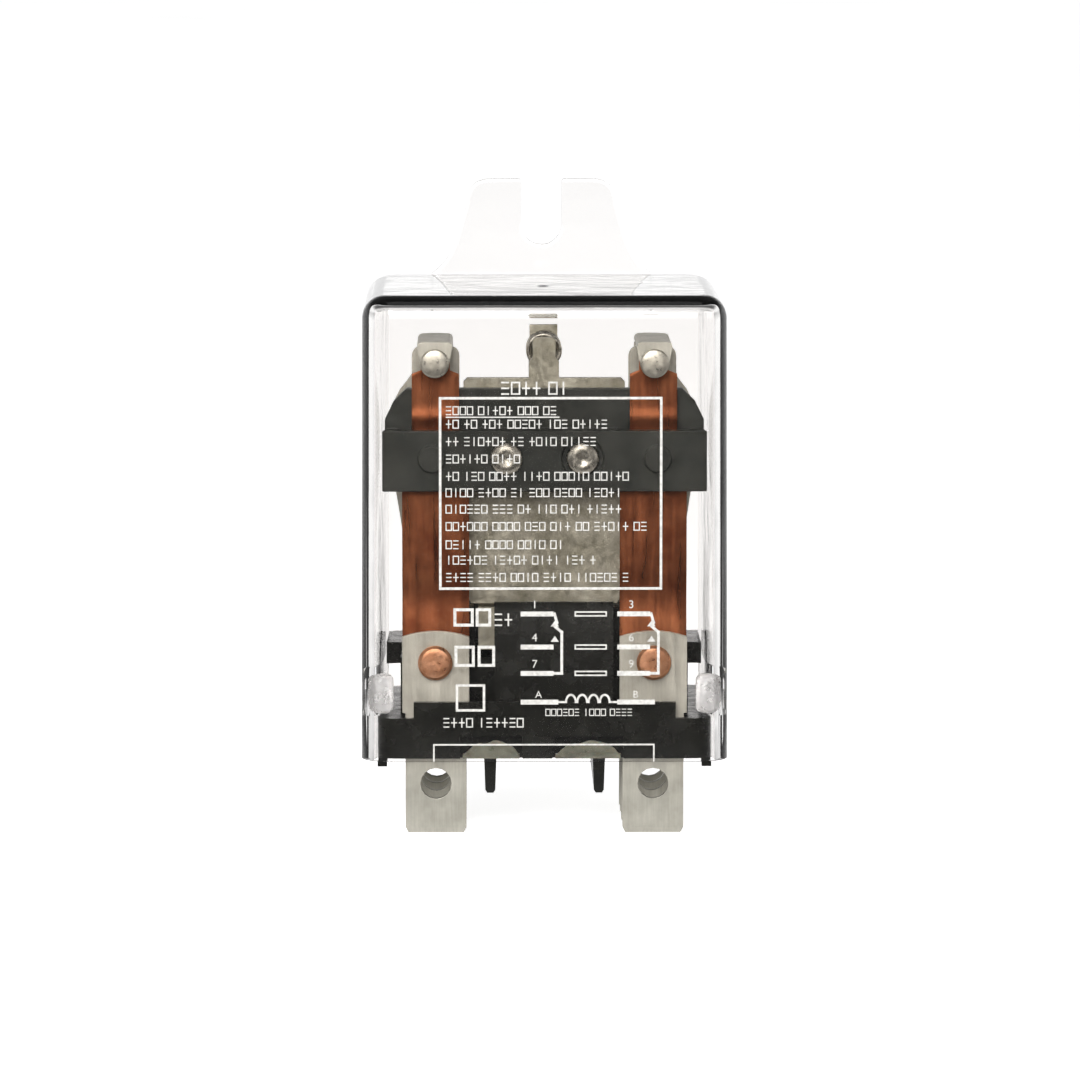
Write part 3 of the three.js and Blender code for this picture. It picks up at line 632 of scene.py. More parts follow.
def latch_window(side, front):
    """The block that cuts a latch window through a side wall, from this depth backwards."""
    x0, x1 = sorted((side * (COVER_HALF - 2 * WALL), side * (COVER_HALF + 1)))
    return block("window", (x0, front, WINDOW_LOW), (x1, front + WINDOW_LENGTH, WINDOW_HIGH))


def make_cover(material):
    cover = cover_shell()
    flange = extruded("flange", flange_outline(), COVER_DEPTH - FLANGE_THICK, COVER_DEPTH)
    soften(flange, 0.35, 4)
    applied(flange)
    boolean(cover, flange, "UNION")
    for _, side in SIDES:
        for front in (CORNER, COVER_DEPTH - CORNER - WINDOW_LENGTH):
            boolean(cover, latch_window(side, front), "DIFFERENCE")
    boolean(cover, gate_mark(), "UNION")
    smooth(cover)
    keep_flat_normals(cover)
    dress(cover, material, replaces=("cover",))


def make_catch(name, side, material):
    """The frosted lump in a front lower corner of the cover that snaps under the base's edge."""
    x0, x1 = sorted((side * CATCH_INNER, side * CATCH_OUTER))
    low, high = (x0, WALL + CATCH_GAP, CATCH_LOW), (x1, WALL + CATCH_BACK, CATCH_HIGH)
    catch = block("cover_catch_" + name, low, high)
    soften(catch, 0.7, 4)
    dress(applied(catch), material)
    smooth(catch)


# ---------------------------------------------------------------- printed legend

INK_THICK = 0.025
INK_SINK = 0.004
LAYER_STEP = 0.0007
LAYERS = 11
SIGNS = ("frame", "dashes", "upright", "frame", "cross")
WORD_LENGTHS = (2, 3, 4, 4, 5, 6)
LETTER_SCALE = 1.38


class Print:
    """Collects flat ink shapes on the cover's front face into one mesh."""

    def __init__(self):
        self.vertices = []
        self.faces = []

    def shape(self, points):
        """Adds one flat shape from (x, height) points.

        Its depth differs a hair from its neighbours', so where two shapes overlap no faces coincide.
        """
        count, start = len(points), len(self.vertices)
        layer = LAYER_STEP * (len(self.faces) % LAYERS)
        for depth in (PRINT_SKIN - INK_THICK - layer, PRINT_SKIN - INK_SINK + layer / 4):
            self.vertices += [at(x, depth, z) for x, z in points]
        self.faces.append([start + i for i in range(count)])
        self.faces.append([start + count + i for i in reversed(range(count))])
        for i in range(count):
            j = (i + 1) % count
            self.faces.append([start + i, start + count + i, start + count + j, start + j])

    def bar(self, x0, x1, z0, z1):
        self.shape([(x0, z0), (x1, z0), (x1, z1), (x0, z1)])

    def line(self, points, width):
        """A line of even width through (x, height) points."""
        for (xa, za), (xb, zb) in zip(points, points[1:]):
            if math.hypot(xb - xa, zb - za) < 1e-6:
                continue
            along = Vector((xb - xa, zb - za)).normalized() * width / 2
            across = Vector((-along.y, along.x))
            corners = (
                (xa - along.x + across.x, za - along.y + across.y),
                (xb + along.x + across.x, zb + along.y + across.y),
                (xb + along.x - across.x, zb + along.y - across.y),
                (xa - along.x - across.x, za - along.y - across.y),
            )
            self.shape(list(corners))

    def frame(self, x0, x1, z0, z1, width):
        self.line([(x0, z0), (x1, z0), (x1, z1), (x0, z1), (x0, z0)], width)

    def sign(self, kind, x, base, wide, tall):
        """One plain mark of small print: an upright, an open frame, three dashes or a cross."""
        stroke = 0.12 * tall
        if kind == "frame":
            self.frame(x, x + wide, base + stroke / 2, base + tall - stroke / 2, stroke)
        elif kind == "dashes":
            self.bar(x, x + wide, base, base + stroke)
            self.bar(x, x + wide, base + tall - stroke, base + tall)
            self.bar(x, x + wide, base + (tall - stroke) / 2, base + (tall + stroke) / 2)
        else:
            middle_x = x + (wide - stroke) / 2
            self.bar(middle_x, middle_x + stroke, base, base + tall)
            if kind == "cross":
                self.bar(x, x + wide, base + (tall - stroke) / 2, base + (tall + stroke) / 2)

    def words(self, x0, x1, base, height, pick):
        """A row of plain marks, grouped like words, that stands for a line of small print."""
        wide, gap = 0.6 * height, 0.2 * height
        x = x0
        while x < x1 - wide:
            for _ in range(pick.choice(WORD_LENGTHS)):
                if x > x1 - wide:
                    break
                self.sign(pick.choice(SIGNS), x, base, wide, height)
                x += wide + gap
            x += 0.45 * height

    def character(self, text, x, base, height):
        """One terminal number or letter."""
        curve = bpy.data.curves.new("character", "FONT")
        curve.body = text
        curve.size = height * LETTER_SCALE
        curve.align_x = "CENTER"
        curve.resolution_u = 3
        source = new_object("character", curve)
        bpy.context.view_layer.update()
        mesh = bpy.data.meshes.new_from_object(source)
        for polygon in mesh.polygons:
            corners = [mesh.vertices[i].co for i in polygon.vertices]
            self.shape([(x + c.x, base + c.y) for c in corners])
        bpy.data.objects.remove(source)


BORDER = (-10.8, 12.0, 26.0, 45.75, 0.26)
HEADING = (-4.5, 3.4, 46.1, 1.35)
TEXT_LEFT = -10.2
TEXT_TALL = 0.92
TEXT_ROWS = (
    (44.0, 1.6), (42.6, 7.1), (40.8, 6.4), (39.0, -1.6), (37.2, 9.1), (35.5, 7.9),
    (33.8, 7.9), (32.0, 11.5), (30.1, 2.5), (28.5, 5.8), (26.7, 8.7),
)
UNDERLINE = (TEXT_LEFT, 1.5, 43.72, 43.84)
UPPER_FRAMES = ((-9.3, -7.5, 22.2, 23.8, 0.3), (-7.0, -5.7, 22.2, 23.8, 0.3))
UPPER_CAPTION = (-5.2, -3.0, 22.1, 1.3)
LOWER_FRAMES = ((-9.2, -7.4, 18.0, 19.9, 0.3), (-6.8, -5.3, 18.0, 19.9, 0.3), (-9.1, -6.3, 13.3, 15.9, 0.25))
LOWER_CAPTION = (-10.5, -1.4, 11.5, 1.0)
COIL_CAPTION = (0.1, 9.2, 12.7, 0.75)
BLADE_BRACKET = [(-11.5, 8.0), (-11.5, 9.7), (11.3, 9.7), (11.3, 8.0)]

DIAGRAM_ROWS = ((23.35, "1", "3"), (19.9, "4", "6"), (17.15, "7", "9"))
DIAGRAM_COLUMNS = (-2.5, 7.5)
THROW = 3.4
THROW_HALF = 0.25
LINK = (3.15, 6.35)
COIL_ROW = 14.15
COIL_LEAD = 3.9
COIL_TURNS = 4
COIL_PITCH = 1.17


def diagram_pole(ink, x):
    """One changeover pole: a jogged blade with a contact mark at each throw."""
    top, mid, low = (row[0] for row in DIAGRAM_ROWS)
    reach = x + 4.25
    ink.line([(x + 3.5, top), (x + 3.75, top - 0.9), (x + 3.5, top - 1.2)], 0.28)
    for foot, tip in ((top - 1.3, top - 0.7), (mid + 0.55, mid + 1.15)):
        ink.shape([(x + 3.1, foot), (x + 3.95, foot), (x + 3.55, tip)])
    ink.line([(x + 3.6, top - 1.35), (reach, top - 1.9), (reach, low), (x + 3.2, low)], 0.28)


def diagram(ink):
    """Three rows of throws for two poles, and the coil below them."""
    for height, first, second in DIAGRAM_ROWS:
        for x, text in zip(DIAGRAM_COLUMNS, (first, second)):
            ink.bar(x, x + THROW, height - THROW_HALF, height + THROW_HALF)
            ink.character(text, x + 1.45, height + 0.6, 0.85)
        ink.frame(*LINK, height - 0.2, height + 0.2, 0.15)
    for x in DIAGRAM_COLUMNS:
        diagram_pole(ink, x)
    left, right = DIAGRAM_COLUMNS
    for x in DIAGRAM_COLUMNS:
        ink.bar(x, x + COIL_LEAD, COIL_ROW - THROW_HALF, COIL_ROW + THROW_HALF)
    ink.character("A", left + 1.85, COIL_ROW + 0.45, 0.75)
    ink.character("B", right + 1.9, COIL_ROW + 0.45, 0.75)
    start = left + COIL_LEAD
    loops = [(start, COIL_ROW)]
    for turn in range(COIL_TURNS):
        middle_x = start + 1.3 + COIL_PITCH * turn
        for i in range(13):
            angle = math.pi * (1 - i / 12)
            loops.append((middle_x + 0.5 * math.cos(angle), COIL_ROW + 0.75 * math.sin(angle)))
    loops.append((right, COIL_ROW))
    ink.line(loops, 0.2)


def make_legend(material):
    """A framed block of small print, a wiring diagram and a thin bracket over the front blades."""
    ink = Print()
    pick = random.Random(7)
    ink.frame(*BORDER)
    for base, end in TEXT_ROWS:
        ink.words(TEXT_LEFT, end, base, TEXT_TALL, pick)
    ink.bar(*UNDERLINE)
    ink.words(*HEADING, pick)
    diagram(ink)
    ink.words(*COIL_CAPTION, pick)
    for sides in UPPER_FRAMES:
        ink.frame(*sides)
    ink.words(*UPPER_CAPTION, pick)
    for sides in LOWER_FRAMES:
        ink.frame(*sides)
    ink.words(*LOWER_CAPTION, pick)
    ink.line(BLADE_BRACKET, 0.16)
    legend = object_from("printed_legend", ink.vertices, ink.faces)
    dress(legend, material)


# ---------------------------------------------------------------- contacts, rivets, springs

NECK_HALF, TONGUE_HALF = 2.45, 1.5
NECK_FROM, NECK_TO, TONGUE_FROM = 38, 40, 48
FOOT_ROUND, FOOT_INSET = 0.8, 0.75
BOWS = ((0.28, 24.5, 2.6), (-0.18, 43.4, 0.7))
RIVET_HOLE, CONTACT_HOLE = 1.35, 1.0
CONTACT_SEATS = {"moving": (3.85, 4.85), "nc": (1.85, 2.85), "no": (8.45, 9.55)}
SPRING_WIRE = 0.25
SPRING_TURNS = 5.5
SPRING_END = 0.8

def make_blade(name, side, material):
    """A moving leaf: wide below, necked above the bar, with a soft bend at each change."""
    (x0, depth0, low), (x1, depth1, high) = span("moving_blade_" + name)
    wide = (x1 - x0) / 2
    centre = side * POLE_X
    rows, columns = 96, 8

    def half_width(h):
        if h < low + FOOT_ROUND:
            return wide - FOOT_INSET * (1 - math.sqrt(max(0, (h - low) / FOOT_ROUND)))
        if h < NECK_FROM:
            return wide
        if h < NECK_TO:
            t = (h - NECK_FROM) / (NECK_TO - NECK_FROM)
            return wide + (NECK_HALF - wide) * (3 * t * t - 2 * t**3)
        return NECK_HALF if h < TONGUE_FROM else TONGUE_HALF

    def bow(h):
        return sum(size * math.exp(-(((h - height) / spread) ** 2)) for size, height, spread in BOWS)

    vertices = []
    for depth in (depth0, depth1):
        for i in range(rows + 1):
            h = low + (high - low) * i / rows
            for j in range(columns + 1):
                vertices.append(at(centre + half_width(h) * (2 * j / columns - 1), depth + bow(h), h))
    blade = sheet("leaf_spring_" + name, vertices, rows, columns)
    x = middle("blade_rivet_" + name)[0]
    for node, radius in (("blade_rivet_", RIVET_HOLE), ("moving_contact_", CONTACT_HOLE)):
        place = (x, 0, middle(node + name)[2])
        hole = turned("hole", place, [(0, 0), (radius, 0), (radius, 9), (0, 9)], 32)
        boolean(blade, hole, "DIFFERENCE")
    smooth(blade)
    bevel(blade, 0.06, 2, 50)
    applied(blade)
    keep_flat_normals(blade)
    dress(blade, material, body=None, replaces=("moving_blade_" + name,))
    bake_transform(blade)


def make_blade_rivet(name, material):
    """A two-headed rivet with a low round front head, through the blade and its terminal."""
    (_, front, _), (x1, back, _) = span("blade_rivet_" + name)
    x, _, z = middle("blade_rivet_" + name)
    head, shank, tail, dome = x1 - x, 1.1, 0.92 * (x1 - x), 0.1
    near, far = front + 0.7, back - 0.6
    profile = [
        (0, front), (head * 0.35, front + 0.02 * dome), (head * 0.62, front + 0.12 * dome),
        (head - 0.3, front + 0.5 * dome), (head - 0.08, front + 0.28), (head, front + 0.42),
        (head, near), (shank, near), (shank, far), (tail, far), (tail, back - 0.15),
        (head * 0.8, back), (0, back),
    ]
    rivet = turned("blade_rivet_head_" + name, (x, 0, z), profile)
    soften(rivet, 0.05, 2, 35)
    dress(rivet, material, replaces=("blade_rivet_" + name,))


def make_contact(node, seats, material, body):
    """A contact with a low dome on both faces. seats: the depths between which only its shank runs."""
    (_, front, _), (x1, back, _) = span(node)
    x, _, z = middle(node)
    head, shank, dome = x1 - x, 0.8, 0.2
    near, far = seats
    profile = [
        (0, front), (head * 0.45, front + 0.1 * dome), (head - 0.22, front + 0.45 * dome),
        (head, min(front + 0.2, near - 0.02)), (head, near), (shank, near), (shank, far), (head, far),
        (head, max(back - 0.2, far + 0.02)), (head - 0.22, back - 0.45 * dome),
        (head * 0.45, back - 0.1 * dome), (0, back),
    ]
    contact = turned(node + "_rivet", (x, 0, z), profile, 48)
    dress(contact, material, body=body, replaces=(node,))


def make_armature_rivet(name, material):
    """A bright rivet whose front head has a shallow ring pressed round its middle."""
    (_, front, _), (x1, back, _) = span("armature_rivet_" + name)
    x, _, z = middle("armature_rivet_" + name)
    head, shank, seat = x1 - x, 1.0, front + 0.5
    profile = [
        (0, front + 0.22), (0.35, front + 0.2), (0.6, front + 0.06), (0.85, front),
        (1.15, front + 0.04), (head - 0.18, front + 0.2), (head, front + 0.42), (head, seat),
        (shank, seat), (shank, back), (0, back),
    ]
    rivet = turned("carrier_rivet_" + name, (x, 0, z), profile)
    dress(rivet, material, body=MOVING, replaces=("armature_rivet_" + name,))


def make_return_spring(material):
    """The coil spring between the armature's tab and the bracket, with a closed turn at each end."""
    low, high = span("return_spring")
    x, _, z = middle("return_spring")
    radius = (high[0] - low[0]) / 2 - SPRING_WIRE - 0.01
    first, last = low[1] + SPRING_WIRE, high[1] - SPRING_WIRE
    points = []
    steps = int(SPRING_TURNS * 36)
    for i in range(steps + 1):
        turn = SPRING_TURNS * i / steps
        angle = 2 * math.pi * turn
        ease = min(1, max(0, (turn - SPRING_END) / (SPRING_TURNS - 2 * SPRING_END)))
        depth = first + (last - first) * ease
        points.append(at(x + radius * math.cos(angle), depth, z + radius * math.sin(angle)))
    spring = wire("coil_spring", points, SPRING_WIRE)
    dress(spring, material, replaces=("return_spring",))
    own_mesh(spring)


# ---------------------------------------------------------------- magnet

RING_INNER, RING_OUTER = 3.3, 5.1
RING_GROOVE = 1.3
SHOE_BACK = 11.5
CORE_RADIUS = 4
NOSE_FROM, NOSE_RADIUS = 31.2, 3
BOBBIN_BORE, BOBBIN_DRUM, BOBBIN_FLANGE = 4.3, 5.6, 1.2
WINDING_INNER = 5.9
TAPE_THICK = 0.3
LAP_FROM, LAP_TURN, LAP_STEPS = 20, 60, 20
SCREW_SHANK, SCREW_CORE, SCREW_CREST = 1.15, 0.98, 1.2
SCREW_HEAD_TOP, THREAD_FROM, THREAD_PITCH, THREAD_RISE = 10.2, 10.6, 0.45, 0.22
SCREW_SLOT_HALF = 0.35
LEAD_ROUTE = (
    (POLE_X, 19.85, 18.9), (POLE_X, 20.3, 21.0), (12.3, 21.6, 25.0), (11.5, 23.0, 29.5), (10.4, 24.0, 33.5),
)


def make_core(steel, copper):
    """The pole core, whose shoe has a groove for the shading ring."""
    (_, face, _), (shoe, back, _) = span("core")
    _, _, z = middle("core")
    groove = face + RING_GROOVE
    profile = [
        (0, face), (RING_INNER, face), (RING_INNER, groove), (RING_OUTER, groove), (RING_OUTER, face),
        (shoe - 0.25, face), (shoe, face + 0.25), (shoe, SHOE_BACK), (CORE_RADIUS, SHOE_BACK),
        (CORE_RADIUS, NOSE_FROM), (NOSE_RADIUS, NOSE_FROM), (NOSE_RADIUS, back - 0.2),
        (NOSE_RADIUS - 0.3, back), (0, back),
    ]
    core = turned("pole_core", (0, 0, z), profile, 72)
    soften(core, 0.08, 2, 35)
    dress(core, steel, replaces=("core",))
    (_, front, _), (radius, end, _) = span("shading_ring")
    ring = tube("shading_ring_insert", z, RING_INNER + 0.3, radius, front, end, 72)
    soften(ring, 0.08, 2, 35)
    dress(ring, copper, replaces=("shading_ring",))


def make_coil(plastic, wire_material, tape):
    """The bobbin, its winding and the tape around it."""
    (_, front, _), (flange, back, _) = span("bobbin")
    _, _, z = middle("bobbin")
    near, far, lip = front + BOBBIN_FLANGE, back - BOBBIN_FLANGE, flange - 0.2
    profile = [
        (BOBBIN_BORE, front), (lip, front), (flange, front + 0.2), (flange, near),
        (BOBBIN_DRUM, near), (BOBBIN_DRUM, far), (flange, far), (flange, back - 0.2),
        (lip, back), (BOBBIN_BORE, back), (BOBBIN_BORE, front),
    ]
    bobbin = turned("coil_former", (0, 0, z), profile, 96)
    dress(bobbin, plastic, replaces=("bobbin",))
    (_, start, _), (radius, end, _) = span("coil_winding")
    winding = tube("wound_wire", z, WINDING_INNER, radius, start, end, 96)
    soften(winding, 0.12, 2, 35)
    dress(winding, wire_material, replaces=("coil_winding",))
    (_, start, _), (radius, end, _) = span("coil_tape")
    wrap = tube("coil_wrap", z, radius - TAPE_THICK, radius, start, end, 96)
    boolean(wrap, tape_lap(radius, z, start, end), "UNION")
    smooth(wrap)
    keep_flat_normals(wrap)
    dress(wrap, tape, replaces=("coil_tape",))


def tape_lap(radius, z, start, end):
    """The tape's lapped end: a second thickness over a sixth of the way round."""
    outer, inner = [], []
    for i in range(LAP_STEPS + 1):
        angle = math.radians(LAP_FROM + LAP_TURN * i / LAP_STEPS)
        lift = 0.02 if i < LAP_STEPS else -0.1
        for points, reach in ((outer, radius + lift), (inner, radius - TAPE_THICK / 2)):
            points.append((reach * math.cos(angle), z + reach * math.sin(angle)))
    return extruded("lap", outer + list(reversed(inner)), start + 0.3, end - 0.3)


def make_bracket_rivet(material):
    """A plain shank with a half-round head at the back."""
    (_, front, _), (head, back, _) = span("bracket_rivet")
    x, _, z = middle("bracket_rivet")
    shank, dome, steps = 0.9, 0.6, 6
    profile = [(0, front), (shank, front), (shank, back - dome), (head, back - dome)]
    for i in range(steps + 1):
        angle = math.radians(90 * i / steps)
        radius = head * math.cos(angle) if i < steps else 0
        profile.append((radius, back - dome + dome * math.sin(angle)))
    rivet = turned("bracket_rivet_head", (x, 0, z), profile, 48)
    dress(rivet, material, replaces=("bracket_rivet",))


def make_frame_screw(name, material):
    """A slotted screw that comes up through the base into the yoke's foot."""
    (_, _, low), (x1, _, high) = span("frame_screw_" + name)
    x, depth, _ = middle("frame_screw_" + name)
    head = x1 - x
    profile = [(0, low), (head * 0.6, low + 0.05), (head - 0.15, low + 0.25), (head, low + 0.5)]
    profile += [(head, SCREW_HEAD_TOP), (SCREW_SHANK, SCREW_HEAD_TOP)]
    for i in range(int((high - THREAD_FROM) / THREAD_PITCH)):
        base = THREAD_FROM + THREAD_PITCH * i
        profile += [(SCREW_CORE, base), (SCREW_CREST, base + THREAD_RISE)]
    profile += [(0.95, high), (0, high)]
    screw = turned("base_screw_" + name, (x, depth, 0), profile, 48, upright=True)
    near, far = depth - SCREW_SLOT_HALF, depth + SCREW_SLOT_HALF
    slot = block("slot", (x - 3, near, low - 1), (x + 3, far, low + 0.6))
    boolean(screw, slot, "DIFFERENCE")
    smooth(screw)
    soften(screw, 0.04, 2, 40)
    dress(screw, material, replaces=("frame_screw_" + name,))


def smooth_route(stops, steps=8):
    """Frame points on a smooth curve through every stop, given as (x, depth, height)."""
    points = []
    for a, b, c, d in zip([stops[0]] + stops, stops, stops[1:], stops[2:] + [stops[-1]]):
        for i in range(steps):
            t = i / steps
            point = []
            for k in range(3):
                slope = (c[k] - a[k]) * t
                square = (2 * a[k] - 5 * b[k] + 4 * c[k] - d[k]) * t * t
                cube = (3 * b[k] - a[k] - 3 * c[k] + d[k]) * t**3
                point.append((2 * b[k] + slope + square + cube) / 2)
            points.append(at(*point))
    return points + [at(*stops[-1])]


def make_coil_lead(name, side, material):
    """A varnished lead from the coil terminal up to the winding, bowing outwards on its way."""
    stops = [(side * x, depth, height) for x, depth, height in LEAD_ROUTE]
    lead = wire("coil_wire_" + name, smooth_route(stops), 0.34)
    dress(lead, material, replaces=("coil_lead_" + name,))


def make_sealant(name, seed, material):
    """A smear of sealing compound that has risen in a low dome between the cover and the base."""
    (x0, front, low), (x1, back, high) = span("base_sealant_" + name)
    columns, rows = 40, 12
    pick = random.Random(seed)
    phases = [pick.uniform(0, 6.28) for _ in range(2)]
    vertices = []
    for depth in (front, back):
        for i in range(columns + 1):
            t = i / columns
            crown = min(1, math.sqrt(min(t, 1 - t) * 3.2)) * (0.86 + 0.06 * math.sin(7 * t + phases[0]))
            crown += 0.05 * math.sin(19 * t + phases[1])
            top = low + (high - low) * min(1, max(0.25, crown))
            for j in range(rows + 1):
                s = j / rows
                bulge = 0.12 * math.sin(math.pi * s) if depth == back else 0
                vertices.append(at(x0 + (x1 - x0) * t, depth - bulge, low + (top - low) * s))
    blob = sheet("sealing_compound_" + name, vertices, columns, rows)
    smooth(blob)
    soften(blob, 0.08, 2, 45)
    dress(blob, material, replaces=("base_sealant_" + name,))


# ---------------------------------------------------------------- camera and stage

LENS = 209.8
SENSOR = 36
LOOKING_DOWN = math.radians(6.38)
LOOKING_RIGHT = math.radians(0.6)
CAMERA_DISTANCE = 0.65
CAMERA_TARGET = at(-0.5, 0, RIM + 23.15)

WHITE = 1.07
FRONT_DARK = 0.12
SIDE_GREY = 0.85
CEILING = 0.12
SKY_THROUGH_WALLS = 0.02
FLOOR_GLOW = 0.82
NEUTRAL = (1.0, 1.0, 1.0)
WARM = (1.0, 0.985, 0.96)
LIGHTS = (
    ("key", (-0.42, -0.50, 0.34), (0.36, 0.36), 1.0, WARM),
    ("fill", (0.50, -0.42, 0.22), (0.36, 0.36), 0.9, NEUTRAL),
    ("top", (0.0, -0.1, 0.7), (0.5, 0.3), 0.3, NEUTRAL),
    ("high_front", (-0.14, -0.72, 0.44), (0.34, 0.3), 3.6, NEUTRAL),
    ("front_panel", (-0.10, -0.85, 0.24), (0.3, 0.2), 1.6, WARM),
)


def make_camera():
    """A long lens a little above the relay and a touch to its left."""
    level, drop = math.cos(LOOKING_DOWN), math.sin(LOOKING_DOWN)
    forward = Vector((math.sin(LOOKING_RIGHT) * level, math.cos(LOOKING_RIGHT) * level, -drop))
    data = bpy.data.cameras.new("camera")
    data.lens = LENS
    data.sensor_width = SENSOR
    data.clip_start = 0.01
    data.clip_end = 20
    camera = new_object("camera", data)
    camera.location = CAMERA_TARGET - forward * CAMERA_DISTANCE
    camera.rotation_mode = "QUATERNION"
    camera.rotation_quaternion = forward.to_track_quat("-Z", "Y")
    bpy.context.scene.camera = camera


def area_light(name, place, aim, size, watts, colour):
    data = bpy.data.lights.new(name, "AREA")
    data.shape = "RECTANGLE"
    data.size, data.size_y = size
    data.energy = watts
    data.color = colour
    light = new_object(name, data)
    light.location = place
    light.visible_camera = False
    light.visible_transmission = False
    light.rotation_mode = "QUATERNION"
    light.rotation_quaternion = (Vector(aim) - Vector(place)).to_track_quat("-Z", "Y")


def surround():
    """A white studio for the camera. The relay sees it white behind, grey beside, dark in front and above.

    Rays that have been mirrored twice, which run inside the clear walls, find it nearly black.
    """
    world = bpy.data.worlds.new("surround")
    world.use_nodes = True
    tree = world.node_tree
    source = tree.nodes.new("ShaderNodeTexCoord")
    direction = split_axes(tree, source.outputs["Generated"])
    backwards = map_range(tree, direction["Y"], -1, 1)
    ring = ramp(tree, backwards, [(0.1, FRONT_DARK), (0.5, SIDE_GREY), (0.85, 1.0)])
    overhead = ramp(tree, direction["Z"], [(0.2, 0.0), (0.5, 1.0)])
    seen = blend_colours(tree, overhead, ring, (CEILING,) * 3)
    guided = above(tree, ray(tree, "Glossy Depth"), 1.5)
    seen = blend_colours(tree, guided, seen, (SKY_THROUGH_WALLS,) * 3)
    shade = blend_colours(tree, ray(tree, "Is Camera Ray"), seen, NEUTRAL)
    background = tree.nodes["Background"]
    tree.links.new(shade, background.inputs["Color"])
    background.inputs["Strength"].default_value = WHITE
    world.cycles.sampling_method = "NONE"
    bpy.context.scene.world = world


def make_stage(floor_material):
    bpy.ops.mesh.primitive_plane_add(size=40, location=(0, 0, TIP_Z))
    floor = bpy.context.object
    floor.name = "floor"
    floor.data.materials.append(floor_material)
    surround()
    centre = (0, FRONT_Y / 2, RIM_Z / 2)
    for name, place, size, watts, colour in LIGHTS:
        area_light(name, place, centre, size, watts, colour)


def pale_floor():
    """A white light table that glows and takes a faint shadow.

    Mirrored rays find it white close under the relay and behind it, and dark in front.
    """
    material, tree, shader = new_material("pale_floor")
    tone = ramp(tree, noise(tree, 0.01, 3), [(0.3, 0.97), (0.7, 1.0)])
    tree.links.new(tone, shader.inputs["Base Color"])
    tree.links.new(tone, shader.inputs["Emission Color"])
    set_constants(shader, Roughness=1.0, Specular_IOR_Level=0.0, Emission_Strength=FLOOR_GLOW)
    place = tree.nodes.new("ShaderNodeTexCoord").outputs["Object"]
    reach = tree.nodes.new("ShaderNodeVectorMath")
    reach.operation = "LENGTH"
    tree.links.new(place, reach.inputs[0])
    near = ramp(tree, reach.outputs["Value"], [(0.05, 1.0), (0.095, 0.0)])
    backwards = map_range(tree, split_axes(tree, place)["Y"], -0.3, 0.5)
    behind = ramp(tree, backwards, [(0.25, 0.1), (0.5, 0.75), (0.8, 1.05)])
    mirror_image = tree.nodes.new("ShaderNodeEmission")
    tree.links.new(blend_colours(tree, 1.0, near, behind, "LIGHTEN"), mirror_image.inputs["Color"])
    mirrored = above(tree, ray(tree, "Glossy Depth"), 0.5)
    mix_surfaces(tree, mirrored, shader.outputs["BSDF"], mirror_image.outputs["Emission"])
    material.cycles.emission_sampling = "NONE"
    return material


def light_bounces():
    """Long paths through the clear plastic, but few mirror bounces, so that its rounded edges go dark."""
    cycles = bpy.context.scene.cycles
    cycles.max_bounces = 24
    cycles.glossy_bounces = 7
    cycles.transmission_bounces = 24
    cycles.transparent_max_bounces = 16


# ---------------------------------------------------------------- the relay


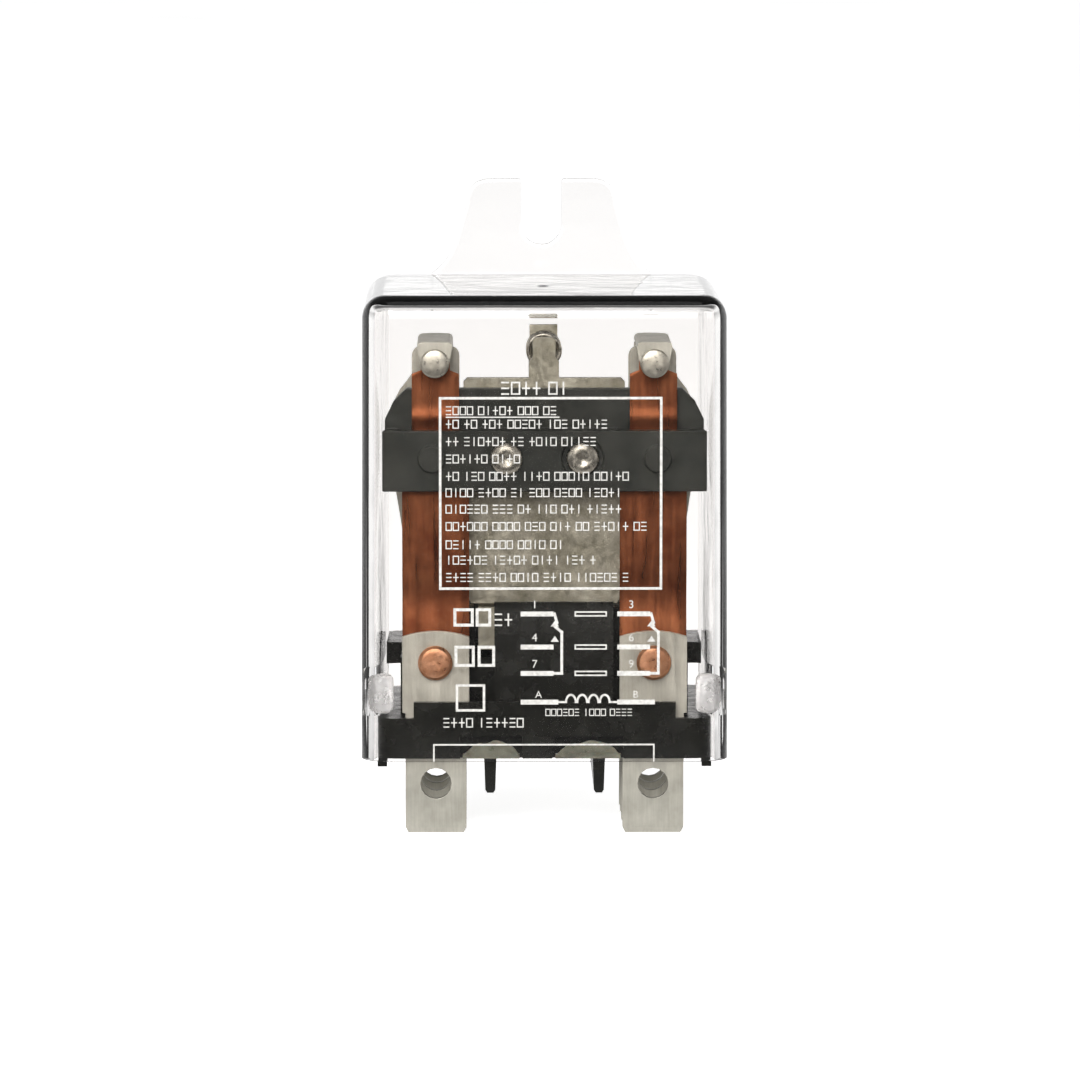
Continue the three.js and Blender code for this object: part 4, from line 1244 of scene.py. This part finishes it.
def main():
    make_camera()
    make_stage(pale_floor())
    light_bounces()

    clear = clear_polycarbonate()
    base_plastic = moulded_plastic("black_phenolic", (0.004, 0.004, 0.003), (0.009, 0.009, 0.007), 0.26, 0.3)
    carrier_plastic = moulded_plastic("black_nylon", (0.011, 0.012, 0.0095), (0.024, 0.024, 0.020), 0.36)
    bobbin_plastic = moulded_plastic("natural_nylon", (0.55, 0.5, 0.38), (0.7, 0.66, 0.54), 0.45)
    tin = metal("tinned_brass", (0.36, 0.345, 0.295), (0.49, 0.47, 0.41), 0.42, rolled=True, bare=0.7)
    iron = metal("plated_iron", (0.27, 0.25, 0.19), (0.48, 0.45, 0.37), 0.4, blotch=0.5)
    red, pale_red = (0.17, 0.048, 0.02), (0.36, 0.125, 0.055)
    copper = metal("rolled_copper", red, pale_red, 0.34, rolled=True, blotch=0.25)
    pink, pale_pink = (0.60, 0.26, 0.13), (0.80, 0.42, 0.25)
    rivet_copper = metal("rivet_copper", pink, pale_pink, 0.34, blotch=0.8, scratch=0.0, dents=0.04)
    grey, pale_grey = (0.62, 0.58, 0.49), (0.8, 0.76, 0.66)
    silver = metal("contact_silver", grey, pale_grey, 0.34, blotch=0.9, scratch=0.2, dents=0.1)
    grey, pale_grey = (0.58, 0.54, 0.46), (0.76, 0.72, 0.63)
    steel = metal("bright_steel", grey, pale_grey, 0.26, blotch=0.6, scratch=0.15, dents=0.06)
    winding = enamelled_wire("enamelled_winding", 0.16, "Y")
    lead = enamelled_wire("enamelled_lead", 0.8, "Z")
    sealant = epoxy_sealant()

    make_cover(clear)
    make_legend(printing_ink())
    frosted = frosted_polycarbonate()
    make_core(iron, copper)
    make_coil(bobbin_plastic, winding, polyester_tape())
    make_bracket_rivet(steel)
    make_return_spring(steel)
    for index, (name, side) in enumerate(SIDES):
        make_blade(name, side, copper)
        make_blade_rivet(name, rivet_copper)
        for kind, seats in CONTACT_SEATS.items():
            body = MOVING if kind == "moving" else BODY
            make_contact(f"{kind}_contact_{name}", seats, silver, body)
        make_armature_rivet(name, steel)
        make_frame_screw(name, steel)
        make_coil_lead(name, side, lead)
        make_sealant(name, 11 + index, sealant)
        make_catch(name, side, frosted)
        for row in ("common", "no", "nc", "coil"):
            soften(paint(f"{row}_terminal_{name}", tin), 0.1, from_cad=True)
    for node, material, edge, segments in (
        ("base", base_plastic, 0.12, 2),
        ("carrier", carrier_plastic, 0.2, 3),
        ("armature", iron, 0.12, 2),
        ("yoke", iron, 0.15, 2),
        ("spring_bracket", iron, 0.1, 2),
    ):
        soften(paint(node, material), edge, segments, from_cad=True)


main()
bpy.context.scene.view_settings.view_transform = "Standard"
